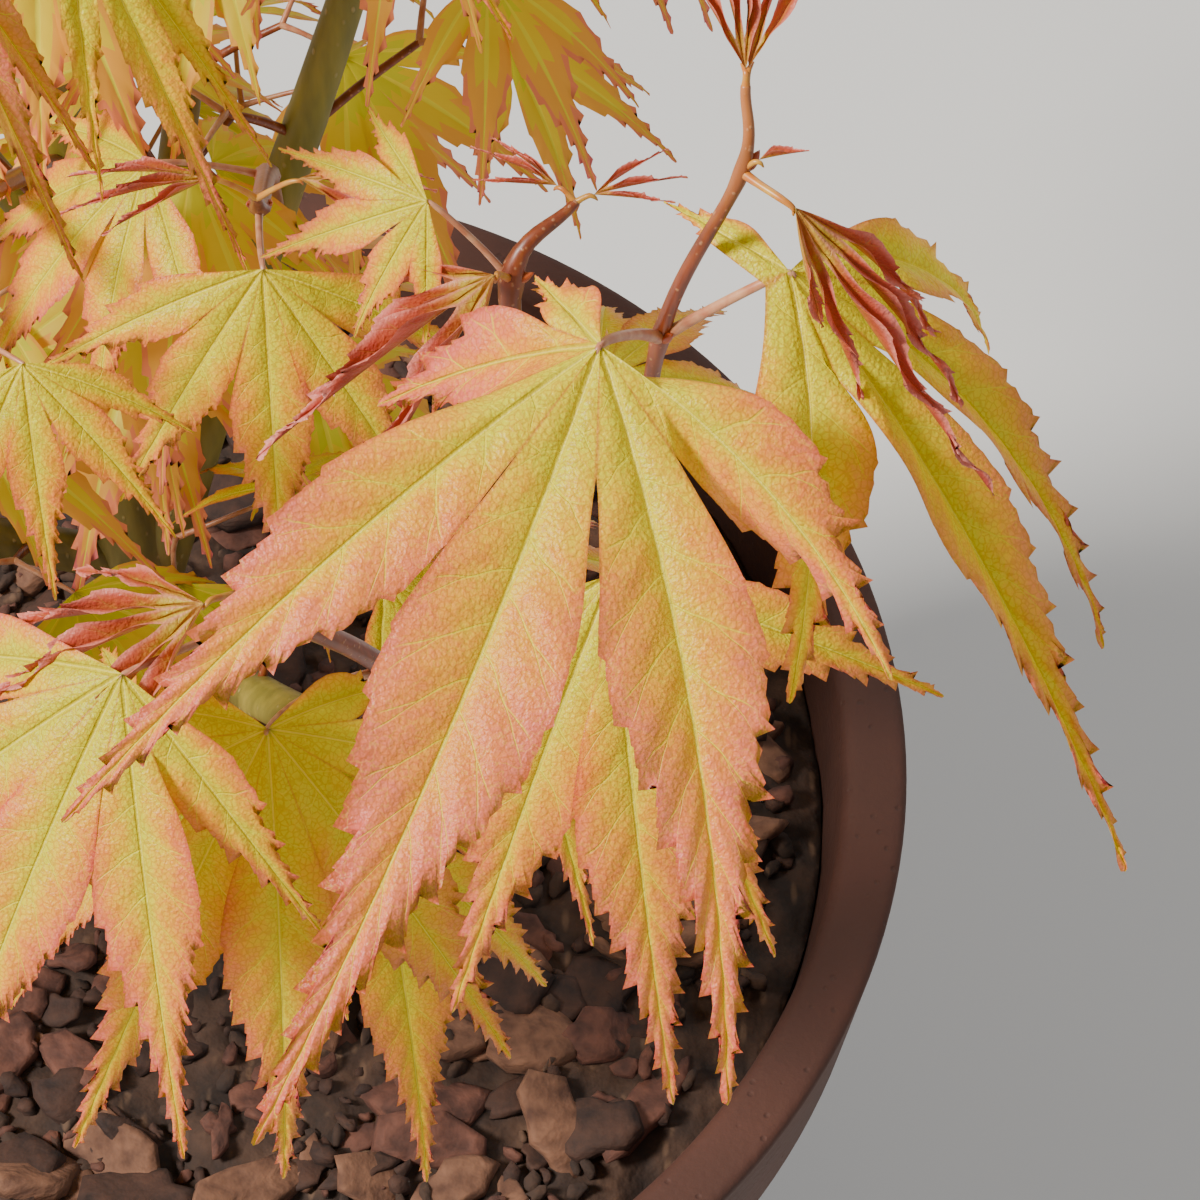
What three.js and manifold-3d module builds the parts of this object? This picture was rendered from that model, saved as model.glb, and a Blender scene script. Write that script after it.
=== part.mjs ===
// A young maple in a round clay pot, in its fresh spring leaves.
// Millimetres, +Z up, with the origin in the middle of the pot's flat underside.
import * as THREE from "three";
import { mergeVertices } from "three/addons/utils/BufferGeometryUtils.js";
import Module from "manifold-3d";

const wasm = await Module();
wasm.setup();

// Pot and compost
const GAP = 0.3; // left between pieces that touch
const POT = {
  height: 160,
  baseRadius: 66,
  neckRadius: 88.5,
  rimRadius: 95,
  rimDepth: 24,
  rimOverhang: 3,
  floor: 7,
  wall: 5.5,
  lip: 8,
  round: 1.6,
  segments: 32,
};
const DRAIN = { count: 4, radius: 5, ring: 34, segments: 12 };
const COMPOST = { level: 148, mound: 2.5, collar: 13, edgeDrop: 1.5 };
const CHIPS = { count: 10, innerRing: 24, outerRing: 70, seed: 5 };

// Trunk and boughs: points on the middle line from the root end, and the radius at each
const LIMBS = {
  trunk: {
    points: [
      [0, 0, COMPOST.level + GAP],
      [0, 0, 157],
      [1, 1, 196],
      [-2, 6, 260],
      [-6, 12, 330],
      [-4, 16, 392],
    ],
    radii: [9.5, 6.6, 5.4, 3.6, 2.4, 1.5],
    sides: 10,
  },
  bough_right: {
    points: [[1, 1, 193], [14, 2, 240], [28, 2, 290], [44, 8, 345]],
    radii: [4, 2.9, 2.2, 1.4],
  },
  bough_front: {
    points: [[1, 1, 186], [22, -38, 226], [44, -76, 272], [57, -100, 318]],
    radii: [3, 2.5, 2, 1.5],
  },
  bough_left: {
    points: [[0, 1, 200], [-36, -16, 236], [-72, -34, 276]],
    radii: [2.8, 2.1, 1.4],
  },
  bough_back: {
    points: [[1, 1, 206], [8, 42, 244], [18, 82, 290]],
    radii: [2.8, 2.1, 1.4],
  },
  bough_side: {
    points: [[-4, 9, 296], [38, 32, 314], [74, 46, 332]],
    radii: [2.2, 1.8, 1.3],
  },
  bough_back_left: {
    points: [[-1, 5, 248], [-38, 34, 282], [-70, 56, 310]],
    radii: [2.2, 1.8, 1.3],
  },
};
const LIMB_SIDES = 8;
const LIMB_STEPS = 4; // rings in each span between two points

// Leaves
const BLADE = 0.8; // thickness of a leaf
const SINUS = 0.16; // share of a leaf's length from its base to the notch between two lobes
const STEM_RADII = [1.25, 0.8];
const STEM_SIDES = 5;
const PETIOLE_RADII = [0.9, 0.36];
const PETIOLE_SIDES = 3;
const PETIOLE_SUNK = 1.8; // from the leaf's base into its plate
const PETIOLE_SHARE = 0.4; // of the leaf's length
const MIDVEIN_STEPS = 8;
const SIMPLE = [0.45]; // stations along a lobe where its width is given
const FINE = [0.25, 0.45, 0.7];
const LONG = 55; // leaves longer than this take the finer stations

// A lobe: angle from the leaf's axis, reach as a share of the leaf's length, pitch below the leaf's
// plane at its root, droop added towards its tip, sideways bend, and half width as a share of its reach
const FULL_LOBES = [[-110, 0.33], [-70, 0.67], [-33, 0.9], [0, 1], [33, 0.9], [70, 0.67], [110, 0.33]];
const SMALL_LOBES = FULL_LOBES.slice(1, 6);
const YOUNG_LOBES = [[-46, 0.68], [-23, 0.92], [0, 1], [23, 0.92], [46, 0.68]];
const LARGE = 47; // a longer leaf has all seven lobes, and a shorter one five
const TINY = 20; // a leaf just out of the bud has three

const LEAF_A = [
  [-118, 0.16, 31, 19, 3, 0.2],
  [-67, 0.35, 35, 10, 20, 0.16],
  [-29, 0.82, -5, 17, 11, 0.1],
  [6, 0.99, -4, 16, -9, 0.108],
  [43, 0.88, -2, 16, -17, 0.108],
  [81, 0.52, -6, 31, -29, 0.15],
  [118, 0.2, 78, 30, 0, 0.16],
];
const LEAF_B = [
  [-157, 0.2, 0, 24, -14, 0.14],
  [-18, 0.56, 29, 16, -27, 0.14],
  [12, 0.91, 27, 9, -16, 0.075],
  [49, 0.81, 30, 30, -38, 0.075],
  [91, 0.53, 17, 56, -41, 0.1],
];
const LEAF_C = [
  [-16, 0.33, 12, 1, 21, 0.07],
  [0, 0.66, 19, -4, 13, 0.055],
  [10, 0.97, 6, -3, 8, 0.05],
  [27, 0.79, 6, 12, -5, 0.055],
  [46, 0.76, 16, 16, -18, 0.055],
];
const LEAF_K = [
  [-62, 0.56, 8, 30, 10, 0.11],
  [-26, 0.86, 2, 30, 6, 0.11],
  [0, 1, 0, 32, 6, 0.105],
  [20, 0.78, 2, 30, -2, 0.1],
  [68, 0.66, 0, 34, -8, 0.1],
];
const LEAF_D = [
  [-17, 0.84, -4, 12, 5, 0.07],
  [-2, 1, 0, 16, 2, 0.07],
  [15, 0.88, 4, 10, -4, 0.07],
];
const HANGING_LEAF = [
  [-26, 0.72, 0, 12, 8, 0.055],
  [-4, 0.98, 0, 14, 4, 0.055],
  [12, 0.82, 4, 10, -4, 0.055],
];
const BUD_LEAF = [[0, 1, -10, 10, 0, 0.16]];

// Foliage: each mass is one leafy shoot. A placed shoot lists its stem and leaves, and the others
// follow the rule: pairs of leaves up a rising stem, each pair turned about it. A leaf's aim is its
// axis's azimuth and elevation, and its roll about that axis. The limb is joined at a share of its length.
const SHOOTS = [
  {
    name: "foliage_front",
    limb: "bough_front",
    at: 1,
    stem: [[58.4, -101.9, 341.6], [60.5, -104.7, 377.1], [66.2, -103, 394.2], [66.4, -100, 400]],
    leaves: [
      { node: 2, base: [56, -115.1, 389.4], aim: [-118, -26, -13], length: 63, lobes: LEAF_A },
      { node: 2, base: [69.9, -105.7, 386.3], aim: [-53, -9, -2], length: 58, lobes: LEAF_B },
      { node: 3, base: [70, -106.4, 394.3], aim: [-56, -41, -8], length: 28, lobes: LEAF_C },
      { node: 3, base: [67.4, -103.4, 396], aim: [-10, 20, 0], length: 4, lobes: BUD_LEAF },
      { node: 4, base: [66.4, -99.4, 401.2], aim: [114, 52, 0], length: 15, lobes: LEAF_D },
      { node: 4, base: [66.6, -99.2, 401.2], aim: [64, 50, 0], length: 15, lobes: LEAF_D },
      { node: 1, base: [57, -108, 351], aim: [-84, -40, 0], length: 48, lobes: LEAF_K },
    ],
  },
  {
    name: "foliage_front_middle",
    limb: "bough_front",
    at: 0.74,
    stem: [[50, -84, 332], [48.7, -80.5, 354], [54, -76, 358.5]],
    leaves: [
      { node: 1, base: [56, -84, 345], aim: [58, -12, 0], length: 26 },
      { node: 2, base: [47.5, -84, 359], aim: [-155, -32, 8], length: 25, young: true },
      { node: 2, base: [42, -78, 361], aim: [180, -25, -35], length: 20 },
      { node: 3, base: [55.5, -76, 359.5], aim: [10, 10, 0], length: 8, young: true },
      { node: 3, base: [52.5, -75, 359.5], aim: [160, 10, 0], length: 8, young: true },
    ],
  },
  {
    name: "foliage_front_left",
    limb: "bough_front",
    at: 0.6,
    stem: [[37, -88, 308], [28, -97, 330], [25.5, -99.5, 336]],
    leaves: [
      { node: 1, base: [28, -104.8, 324], aim: [-82, -42, -4], length: 50 },
      { node: 1, base: [36, -98, 299], aim: [-70, -48, 0], length: 38 },
      { node: 2, base: [17, -108, 337], aim: [-128, -36, -8], length: 46 },
      { node: 3, base: [23.5, -102, 338.5], aim: [-165, -22, 0], length: 24, young: true },
    ],
  },
  {
    name: "foliage_inner",
    limb: "bough_right",
    at: 0.5,
    stem: [[23, -22, 298], [24.5, -44, 320], [25, -50, 328]],
    leaves: [
      { node: 1, base: [12, -27, 306], aim: [-150, -30, 0], length: 36 },
      { node: 2, base: [25.5, -55, 324], aim: [-92, -46, -5], length: 36 },
      { node: 3, base: [29, -51, 332], aim: [-20, 10, 0], length: 14, young: true },
      { node: 3, base: [21, -51, 332], aim: [-160, 10, 0], length: 14, young: true },
    ],
  },
  {
    name: "foliage_inner_left",
    limb: "trunk",
    at: 0.62,
    stem: [[-4, -30, 304], [-5, -58, 324], [-6, -66, 332]],
    leaves: [
      { node: 1, base: [-20, -34, 310], aim: [-165, -26, 0], length: 40 },
      { node: 2, base: [5.8, -72, 332], aim: [-78, -34, 4], length: 24 },
      { node: 2, base: [-18, -66, 330], aim: [-150, -30, 0], length: 36 },
      { node: 3, base: [-6, -68, 334], aim: [-100, 20, 0], length: 15, young: true },
    ],
  },
  {
    name: "foliage_upper_front",
    limb: "trunk",
    at: 0.78,
    stem: [[0, -28, 366], [14, -56, 390], [22, -68, 399], [25, -72, 406]],
    leaves: [
      { node: 1, base: [-14, -36, 378], aim: [-160, -24, 0], length: 44 },
      { node: 1, base: [16, -30, 378], aim: [-12, -14, 0], length: 42 },
      { node: 2, base: [-2, -64, 402], aim: [-146, -24, 0], length: 45 },
      { node: 2, base: [28, -56, 401], aim: [-16, -16, 0], length: 40 },
      { node: 3, base: [17, -82.5, 402.5], aim: [-50, -44, 4], length: 33, lobes: HANGING_LEAF },
      { node: 3, base: [5, -84.5, 403.5], aim: [-50, -42, -6], length: 33, lobes: HANGING_LEAF },
      { node: 4, base: [26, -74, 409], aim: [-60, 25, 0], length: 15, young: true },
    ],
  },
  {
    name: "foliage_top", limb: "trunk", at: 1,
    azimuth: 95, elevation: 66, length: 72, pairs: 3, leaf: 46, seed: 13,
  },
  {
    name: "foliage_top_left", limb: "trunk", at: 0.84,
    azimuth: 188, elevation: 38, length: 66, pairs: 2, leaf: 46, seed: 23,
  },
  {
    name: "foliage_right_top", limb: "bough_right", at: 1,
    azimuth: -6, elevation: 46, length: 74, pairs: 3, leaf: 45, seed: 47,
  },
  {
    name: "foliage_right", limb: "bough_side", at: 1,
    azimuth: 16, elevation: 30, length: 70, pairs: 3, leaf: 46, seed: 49,
  },
  {
    name: "foliage_left", limb: "bough_left", at: 1,
    azimuth: 192, elevation: 34, length: 72, pairs: 3, leaf: 48, seed: 54,
  },
  {
    name: "foliage_left_front", limb: "bough_left", at: 0.6,
    azimuth: -128, elevation: 20, length: 56, pairs: 2, leaf: 42, seed: 75,
  },
  {
    name: "foliage_back", limb: "bough_back", at: 1,
    azimuth: 84, elevation: 34, length: 72, pairs: 3, leaf: 48, seed: 81,
  },
  {
    name: "foliage_back_right", limb: "bough_back", at: 0.55,
    azimuth: 42, elevation: 30, length: 62, pairs: 2, leaf: 44, seed: 85,
  },
  {
    name: "foliage_back_left", limb: "bough_back_left", at: 1,
    azimuth: 146, elevation: 34, length: 70, pairs: 3, leaf: 47, seed: 99,
  },
];
const RULE = {
  wander: 7, // degrees that a stem may turn aside at a node
  lift: 7, // degrees that it rises at each node
  shorten: 0.78, // of each stretch of stem to the one before
  shrink: 0.8, // of each pair of leaves to the one before
  quarter: 58, // degrees that each pair is turned round the stem from the one before
  spread: [78, 56, 36], // degrees between the stem and the leaves of each pair, seen from above
  outward: 0.72, // parts of a petiole's direction: away from the stem, along it and up
  along: 0.55,
  upward: 0.42,
  facing: 8, // degrees of chance in a leaf's azimuth
  tilting: 10, // and in its roll
  drooping: [18, 30], // degrees that a leaf hangs below level
  tipStem: 0.14, // of the shoot's length, under the leaves at its tip
  tipLeaf: 0.32, // of the first leaves' length
  tipPetiole: 0.35, // of the tip leaf's length
  tipSteeper: 25, // degrees that a tip leaf's stalk rises above the stem
  tipRise: 30, // degrees that a tip leaf points above level
  tipSpread: [35, 60], // degrees between the stem and each tip leaf
};

const UP = new THREE.Vector3(0, 0, 1);
const radians = THREE.MathUtils.degToRad;
const vec = (point) => new THREE.Vector3(...point);

// Unit vector of an azimuth, counted from +X towards +Y, and an elevation, in degrees.
function heading(azimuth, elevation) {
  const turn = radians(azimuth);
  const rise = radians(elevation);
  return new THREE.Vector3(Math.cos(rise) * Math.cos(turn), Math.cos(rise) * Math.sin(turn), Math.sin(rise));
}

// Seeded draws between two values.
class Chance {
  constructor(seed) {
    this.state = seed;
  }
  between(low, high) {
    this.state = (Math.imul(this.state, 1664525) + 1013904223) >>> 0;
    return low + ((high - low) * this.state) / 2 ** 32;
  }
}

// Closed solids and back

function solidOf(geometry) {
  geometry.deleteAttribute("normal");
  geometry.deleteAttribute("uv");
  const merged = mergeVertices(geometry, 1e-4);
  const vertProperties = new Float32Array(merged.attributes.position.array);
  const triVerts = new Uint32Array(merged.index.array);
  return new wasm.Manifold(new wasm.Mesh({ numProp: 3, vertProperties, triVerts }));
}

function shellOf(points, faces) {
  const geometry = new THREE.BufferGeometry().setFromPoints(points);
  return geometry.setIndex(faces.flat());
}

// The largest body of a solid: scraps and the walls of sealed hollows are left behind.
function mainBody(solid) {
  const bodies = solid.decompose();
  return bodies.sort((a, b) => b.volume() - a.volume())[0];
}

const touches = (a, b) => a.intersect(b).volume() > 0.001;

function meshOf(name, solid, material) {
  const { vertProperties, triVerts } = solid.getMesh();
  const geometry = new THREE.BufferGeometry();
  geometry.setAttribute("position", new THREE.BufferAttribute(vertProperties, 3));
  geometry.setIndex(new THREE.BufferAttribute(triVerts, 1));
  geometry.computeVertexNormals();
  const mesh = new THREE.Mesh(geometry, material);
  mesh.name = name;
  return mesh;
}

// Limbs

const curveOf = (points) => new THREE.CatmullRomCurve3(points.map(vec), false, "catmullrom", 0.5);

function radiusAt(radii, share) {
  const place = share * (radii.length - 1);
  const span = Math.min(Math.floor(place), radii.length - 2);
  return THREE.MathUtils.lerp(radii[span], radii[span + 1], place - span);
}

// Tapering tube along the smooth curve through some points, with a flat cap at each end.
function tubeOf(points, radii, sides, spanSteps, extra = 0) {
  const curve = curveOf(points);
  const steps = (points.length - 1) * spanSteps;
  const vertices = [];
  const faces = [];
  const side = new THREE.Vector3(0.31, 0.93, 0.2);
  for (let i = 0; i <= steps; i++) {
    const share = i / steps;
    const centre = curve.getPoint(share);
    const along = curve.getTangent(share);
    side.addScaledVector(along, -side.dot(along)).normalize();
    const over = along.clone().cross(side);
    const radius = radiusAt(radii, share) + extra;
    for (let k = 0; k < sides; k++) {
      const turn = (2 * Math.PI * k) / sides;
      const out = side.clone().multiplyScalar(Math.cos(turn)).addScaledVector(over, Math.sin(turn));
      vertices.push(centre.clone().addScaledVector(out, radius));
    }
  }
  for (let i = 0; i < steps; i++) {
    for (let k = 0; k < sides; k++) {
      const next = (k + 1) % sides;
      const [a, b, c, d] = [i * sides + k, i * sides + next, (i + 1) * sides + next, (i + 1) * sides + k];
      faces.push([a, b, c], [a, c, d]);
    }
  }
  const top = steps * sides;
  for (let k = 1; k < sides - 1; k++) {
    faces.push([0, k + 1, k], [top, top + k, top + k + 1]);
  }
  return solidOf(shellOf(vertices, faces));
}

function limbSolid({ points, radii, sides = LIMB_SIDES }, extra) {
  return tubeOf(points, radii, sides, LIMB_STEPS, extra);
}

// Leaves

// Direction, left side and normal of a lobe's middle vein at a share of its length.
function lobeFrame(leaf, [angle, , pitch, droop, bend], share) {
  const turn = radians(angle + bend * share);
  const fall = radians(pitch + droop * share);
  const left = leaf.normal.clone().cross(leaf.axis);
  const flat = leaf.axis.clone().multiplyScalar(Math.cos(turn)).addScaledVector(left, Math.sin(turn));
  const side = left.multiplyScalar(Math.cos(turn)).addScaledVector(leaf.axis, -Math.sin(turn));
  const along = flat.clone().multiplyScalar(Math.cos(fall)).addScaledVector(leaf.normal, -Math.sin(fall));
  const normal = flat.multiplyScalar(Math.sin(fall)).addScaledVector(leaf.normal, Math.cos(fall));
  return { along, side, normal };
}

// Point on the middle vein: the vein's direction is added up in small steps.
function lobePoint(leaf, lobe, share) {
  const step = (leaf.length * lobe[1] * share) / MIDVEIN_STEPS;
  const point = leaf.base.clone();
  for (let i = 0; i < MIDVEIN_STEPS; i++) {
    point.addScaledVector(lobeFrame(leaf, lobe, (share * (i + 0.5)) / MIDVEIN_STEPS).along, step);
  }
  return point;
}

// Half width of a lobe: a hump at two fifths of its length, running out in a long point.
function halfWidth(leaf, lobe, share) {
  const hump = 0.61 * Math.exp(-(((share - 0.43) / 0.24) ** 2));
  return leaf.length * lobe[1] * lobe[5] * (hump + 0.51 * Math.sqrt(1 - share));
}

// The notch between two neighbouring lobes.
function notchBetween(leaf, before, after) {
  const radius = Math.min(SINUS, 0.5 * before[1], 0.5 * after[1]);
  const middle = new THREE.Vector3();
  const normal = new THREE.Vector3();
  for (const lobe of [before, after]) {
    middle.addScaledVector(lobePoint(leaf, lobe, radius / lobe[1]), 0.5);
    normal.add(lobeFrame(leaf, lobe, 0).normal);
  }
  return { point: middle, normal: normal.normalize() };
}

// A leaf as a thin plate: each lobe runs from the leaf's base, between two notches, to its tip.
function bladeSolid(leaf, thickness) {
  const spots = [{ point: leaf.base, normal: leaf.normal }];
  const add = (point, normal) => spots.push({ point, normal }) - 1;
  const faces = [];
  const edge = [0];
  let notch = 0;
  leaf.lobes.forEach((lobe, j) => {
    const rows = leaf.stations.map((share) => {
      const { side, normal } = lobeFrame(leaf, lobe, share);
      const middle = lobePoint(leaf, lobe, share);
      const half = halfWidth(leaf, lobe, share);
      return {
        right: add(middle.clone().addScaledVector(side, -half), normal),
        left: add(middle.clone().addScaledVector(side, half), normal),
      };
    });
    const tip = add(lobePoint(leaf, lobe, 1), lobeFrame(leaf, lobe, 1).normal);
    const isLast = j === leaf.lobes.length - 1;
    const between = isLast ? null : notchBetween(leaf, lobe, leaf.lobes[j + 1]);
    const nextNotch = isLast ? 0 : add(between.point, between.normal);
    const first = rows[0];
    faces.push([0, notch, first.right], [0, first.right, first.left], [0, first.left, nextNotch]);
    rows.slice(1).forEach((row, i) => {
      const back = rows[i];
      faces.push([back.right, row.right, row.left], [back.right, row.left, back.left]);
    });
    faces.push([rows.at(-1).right, tip, rows.at(-1).left]);
    edge.push(...rows.map((row) => row.right), tip, ...rows.map((row) => row.left).reverse(), nextNotch);
    notch = nextNotch;
  });
  const count = spots.length;
  const shift = (by) => spots.map(({ point, normal }) => point.clone().addScaledVector(normal, by));
  const upper = faces.filter(([a, b, c]) => a !== b && b !== c && c !== a);
  const lower = upper.map(([a, b, c]) => [a + count, c + count, b + count]);
  const rim = edge.slice(1).flatMap((b, i) => {
    const a = edge[i];
    return [[a + count, b + count, b], [a + count, b, a]];
  });
  const points = [...shift(thickness / 2), ...shift(-thickness / 2)];
  return solidOf(shellOf(points, [...upper, ...lower, ...rim]));
}

// A leaf's stalk, from the middle of the stem to an end that lies inside the plate's thickness.
function petioleSolid(leaf) {
  const middleLobe = leaf.lobes[Math.floor(leaf.lobes.length / 2)];
  const end = lobePoint(leaf, middleLobe, Math.min(0.3, PETIOLE_SUNK / leaf.length));
  return tubeOf([leaf.node.toArray(), end.toArray()], PETIOLE_RADII, PETIOLE_SIDES, 1);
}

// A leaf's axis and normal from the heading of its axis and its roll about that axis.
function leafAxes(azimuth, elevation, roll) {
  const axis = heading(azimuth, elevation);
  const normal = UP.clone().addScaledVector(axis, -axis.z).normalize().applyAxisAngle(axis, radians(roll));
  return { axis, normal };
}

// Lobes of a leaf by the rule, with a little chance in each.
function lobesFor(length, young, chance) {
  const grown = length > LARGE ? FULL_LOBES : SMALL_LOBES;
  const fresh = length > TINY ? YOUNG_LOBES : YOUNG_LOBES.slice(1, 4);
  const plan = young ? fresh : grown;
  const grownWidth = (angle) => (Math.abs(angle) > 100 ? 0.15 : 0.11);
  return plan.map(([angle, reach]) => [
    angle + chance.between(-4, 4),
    reach * chance.between(0.94, 1.06),
    young ? chance.between(-8, 6) : 4 + 0.08 * Math.abs(angle) + chance.between(-3, 3),
    young ? chance.between(5, 25) : chance.between(22, 42),
    -0.22 * angle,
    young ? 0.07 : grownWidth(angle),
  ]);
}

// A shoot's stem and leaves.
function growShoot(shoot) {
  const chance = new Chance(shoot.seed ?? shoot.name.length);
  const limb = LIMBS[shoot.limb];
  const curve = curveOf(limb.points);
  const start = curve.getPoint(shoot.at);
  if (shoot.at === 1) start.addScaledVector(curve.getTangent(1), GAP);
  const stem = [start];
  if (shoot.stem) {
    stem.push(...shoot.stem.map(vec));
    const leaves = shoot.leaves.map(({ node, base, aim, length, lobes, young }) => ({
      length,
      node: stem[node],
      base: vec(base),
      lobes: lobes ?? lobesFor(length, young, chance),
      stations: length > LONG ? FINE : SIMPLE,
      placed: true,
      ...leafAxes(...aim),
    }));
    return { stem, leaves };
  }
  const leaves = [];
  let { azimuth, elevation } = shoot;
  let total = 0;
  for (let k = 0; k < shoot.pairs; k++) total += RULE.shorten ** k;
  for (let k = 0; k < shoot.pairs; k++) {
    azimuth += chance.between(-RULE.wander, RULE.wander);
    elevation += RULE.lift;
    const run = heading(azimuth, elevation);
    const node = stem.at(-1).clone().addScaledVector(run, (shoot.length * RULE.shorten ** k) / total);
    stem.push(node);
    const right = run.clone().cross(UP).normalize();
    for (const side of [-1, 1]) {
      const out = right.clone().applyAxisAngle(run, radians(RULE.quarter * k)).multiplyScalar(-side);
      const rise = out.multiplyScalar(RULE.outward);
      rise.addScaledVector(run, RULE.along).addScaledVector(UP, RULE.upward).normalize();
      const length = shoot.leaf * RULE.shrink ** k * chance.between(0.92, 1.06);
      const base = node.clone().addScaledVector(rise, PETIOLE_SHARE * length);
      const face = azimuth + side * (RULE.spread[k] + chance.between(-RULE.facing, RULE.facing));
      const droop = -chance.between(...RULE.drooping);
      const roll = chance.between(-RULE.tilting, RULE.tilting);
      const lobes = lobesFor(length, false, chance);
      leaves.push({ node, base, length, lobes, stations: SIMPLE, ...leafAxes(face, droop, roll) });
    }
  }
  const last = heading(azimuth, elevation + RULE.lift);
  const node = stem.at(-1).clone().addScaledVector(last, RULE.tipStem * shoot.length);
  stem.push(node);
  for (const side of [-1, 1]) {
    const length = shoot.leaf * RULE.tipLeaf * chance.between(0.9, 1.1);
    const face = azimuth + side * chance.between(...RULE.tipSpread);
    const rise = heading(face, elevation + RULE.tipSteeper);
    const base = node.clone().addScaledVector(rise, RULE.tipPetiole * length);
    const lobes = lobesFor(length, true, chance);
    leaves.push({ node, base, length, lobes, stations: SIMPLE, ...leafAxes(face, RULE.tipRise, 0) });
  }
  return { stem, leaves };
}

// Pot: a turned profile, from the middle of the underside up the outside, over the lip and down inside.
function potSolid() {
  const { height, baseRadius, neckRadius, rimRadius, rimDepth, rimOverhang, floor, lip, round, wall } = POT;
  const neck = height - rimDepth;
  const profile = [
    [0, 0],
    [baseRadius - round, 0],
    [baseRadius, round],
    [neckRadius, neck],
    [neckRadius + rimOverhang - 1, neck],
    [neckRadius + rimOverhang, neck + 1],
    [rimRadius, height - 2 * round],
    [rimRadius - round, height],
    [rimRadius - lip + round, height],
    [rimRadius - lip, height - round],
    [neckRadius - wall, neck],
    [baseRadius - wall + 1, floor + 3],
    [baseRadius - wall - 3, floor],
    [0, floor],
  ];
  const turned = new THREE.LatheGeometry(profile.map(([r, z]) => new THREE.Vector2(r, z)), POT.segments);
  let pot = solidOf(turned.rotateX(Math.PI / 2));
  for (let k = 0; k < DRAIN.count; k++) {
    const turn = (2 * Math.PI * (k + 0.5)) / DRAIN.count;
    const hole = new THREE.CylinderGeometry(DRAIN.radius, DRAIN.radius, 4 * floor, DRAIN.segments);
    hole.rotateX(Math.PI / 2).translate(DRAIN.ring * Math.cos(turn), DRAIN.ring * Math.sin(turn), 0);
    pot = pot.subtract(solidOf(hole));
  }
  return pot;
}

// Radius of the pot's inside at a height above the floor's corner.
function insideRadius(z) {
  const neck = POT.height - POT.rimDepth;
  const low = [POT.baseRadius - POT.wall + 1, POT.floor + 3];
  const middle = [POT.neckRadius - POT.wall, neck];
  const high = [POT.rimRadius - POT.lip, POT.height - POT.round];
  const [from, to] = z < neck ? [low, middle] : [middle, high];
  return THREE.MathUtils.mapLinear(z, from[1], to[1], from[0], to[0]);
}

// Compost: it fills the pot to a low mound, flat round the trunk, with chips of bark lying in it.
function compostSolid() {
  const neck = POT.height - POT.rimDepth;
  const { level, mound, collar, edgeDrop } = COMPOST;
  const edge = insideRadius(level - edgeDrop) - GAP;
  const profile = [
    [0, POT.floor + GAP],
    [POT.baseRadius - POT.wall - 3 - 2 * GAP, POT.floor + GAP],
    [insideRadius(POT.floor + 3) - 2 * GAP, POT.floor + 3],
    [insideRadius(neck) - GAP, neck],
    [edge, level - edgeDrop],
    [edge * 0.88, level + 0.5 * mound],
    [edge * 0.55, level + mound],
    [collar * 1.7, level + 0.5 * mound],
    [collar, level],
    [0, level],
  ];
  const turned = new THREE.LatheGeometry(profile.map(([r, z]) => new THREE.Vector2(r, z)), POT.segments);
  let compost = solidOf(turned.rotateX(Math.PI / 2));
  const chance = new Chance(CHIPS.seed);
  for (let k = 0; k < CHIPS.count; k++) {
    const chip = new THREE.BoxGeometry(chance.between(11, 19), chance.between(6, 9), chance.between(2.5, 4));
    chip.rotateX(chance.between(-0.3, 0.3)).rotateZ(chance.between(0, Math.PI));
    const turn = 2.4 * k;
    const ring = THREE.MathUtils.lerp(CHIPS.innerRing, CHIPS.outerRing, Math.sqrt((k + 0.5) / CHIPS.count));
    chip.translate(ring * Math.cos(turn), ring * Math.sin(turn), level + mound);
    compost = compost.add(solidOf(chip));
  }
  return mainBody(compost);
}

// Colours of the finished pieces
const finish = (color, roughness) => new THREE.MeshStandardMaterial({ color, roughness, metalness: 0 });
const CLAY = finish(0x8a5a3c, 0.85);
const SOIL = finish(0x4a372c, 0.95);
const BARK = finish(0x6b6a3a, 0.7);
const LEAF = finish(0xd3b25a, 0.5);

const maple = new THREE.Group();
const taken = [];
function place(name, solid, material) {
  taken.push(solid);
  maple.add(meshOf(name, solid, material));
}

place("pot", potSolid(), CLAY);
place("compost", compostSolid(), SOIL);

// Each bough is cut back to stand clear of the limbs that come before it.
const roomy = [];
for (const [name, limb] of Object.entries(LIMBS)) {
  const solid = roomy.reduce((rest, other) => rest.subtract(other), limbSolid(limb, 0));
  place(name, mainBody(solid), BARK);
  roomy.push(limbSolid(limb, GAP));
}

// A leaf that would touch a limb or another mass is left off. So is one of the rule's own that would
// touch an earlier leaf of its shoot.
for (const shoot of SHOOTS) {
  const { stem, leaves } = growShoot(shoot);
  const line = stem.map((point) => point.toArray());
  let mass = tubeOf(line, STEM_RADII, STEM_SIDES, 1);
  const blades = [];
  for (const leaf of leaves) {
    const blade = bladeSolid(leaf, BLADE);
    const room = bladeSolid(leaf, BLADE + 2 * GAP);
    if ([...taken, ...roomy].some((other) => touches(room, other))) continue;
    if (!leaf.placed && blades.some((other) => touches(room, other))) continue;
    blades.push(blade);
    mass = mass.add(blade).add(petioleSolid(leaf));
  }
  place(shoot.name, mainBody(roomy.reduce((rest, limb) => rest.subtract(limb), mass)), LEAF);
}

export default maple;
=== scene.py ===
"""Looks of a young maple in a round clay pot, in its fresh spring leaves.

The numbers below are millimetres and degrees, +Z up, with the origin in the middle of the pot's flat
underside. Meshes are written in metres. Every shoot grows by its solid's rule, with finer leaves."""

import math

import bpy
import numpy as np
from mathutils import Matrix


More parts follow.
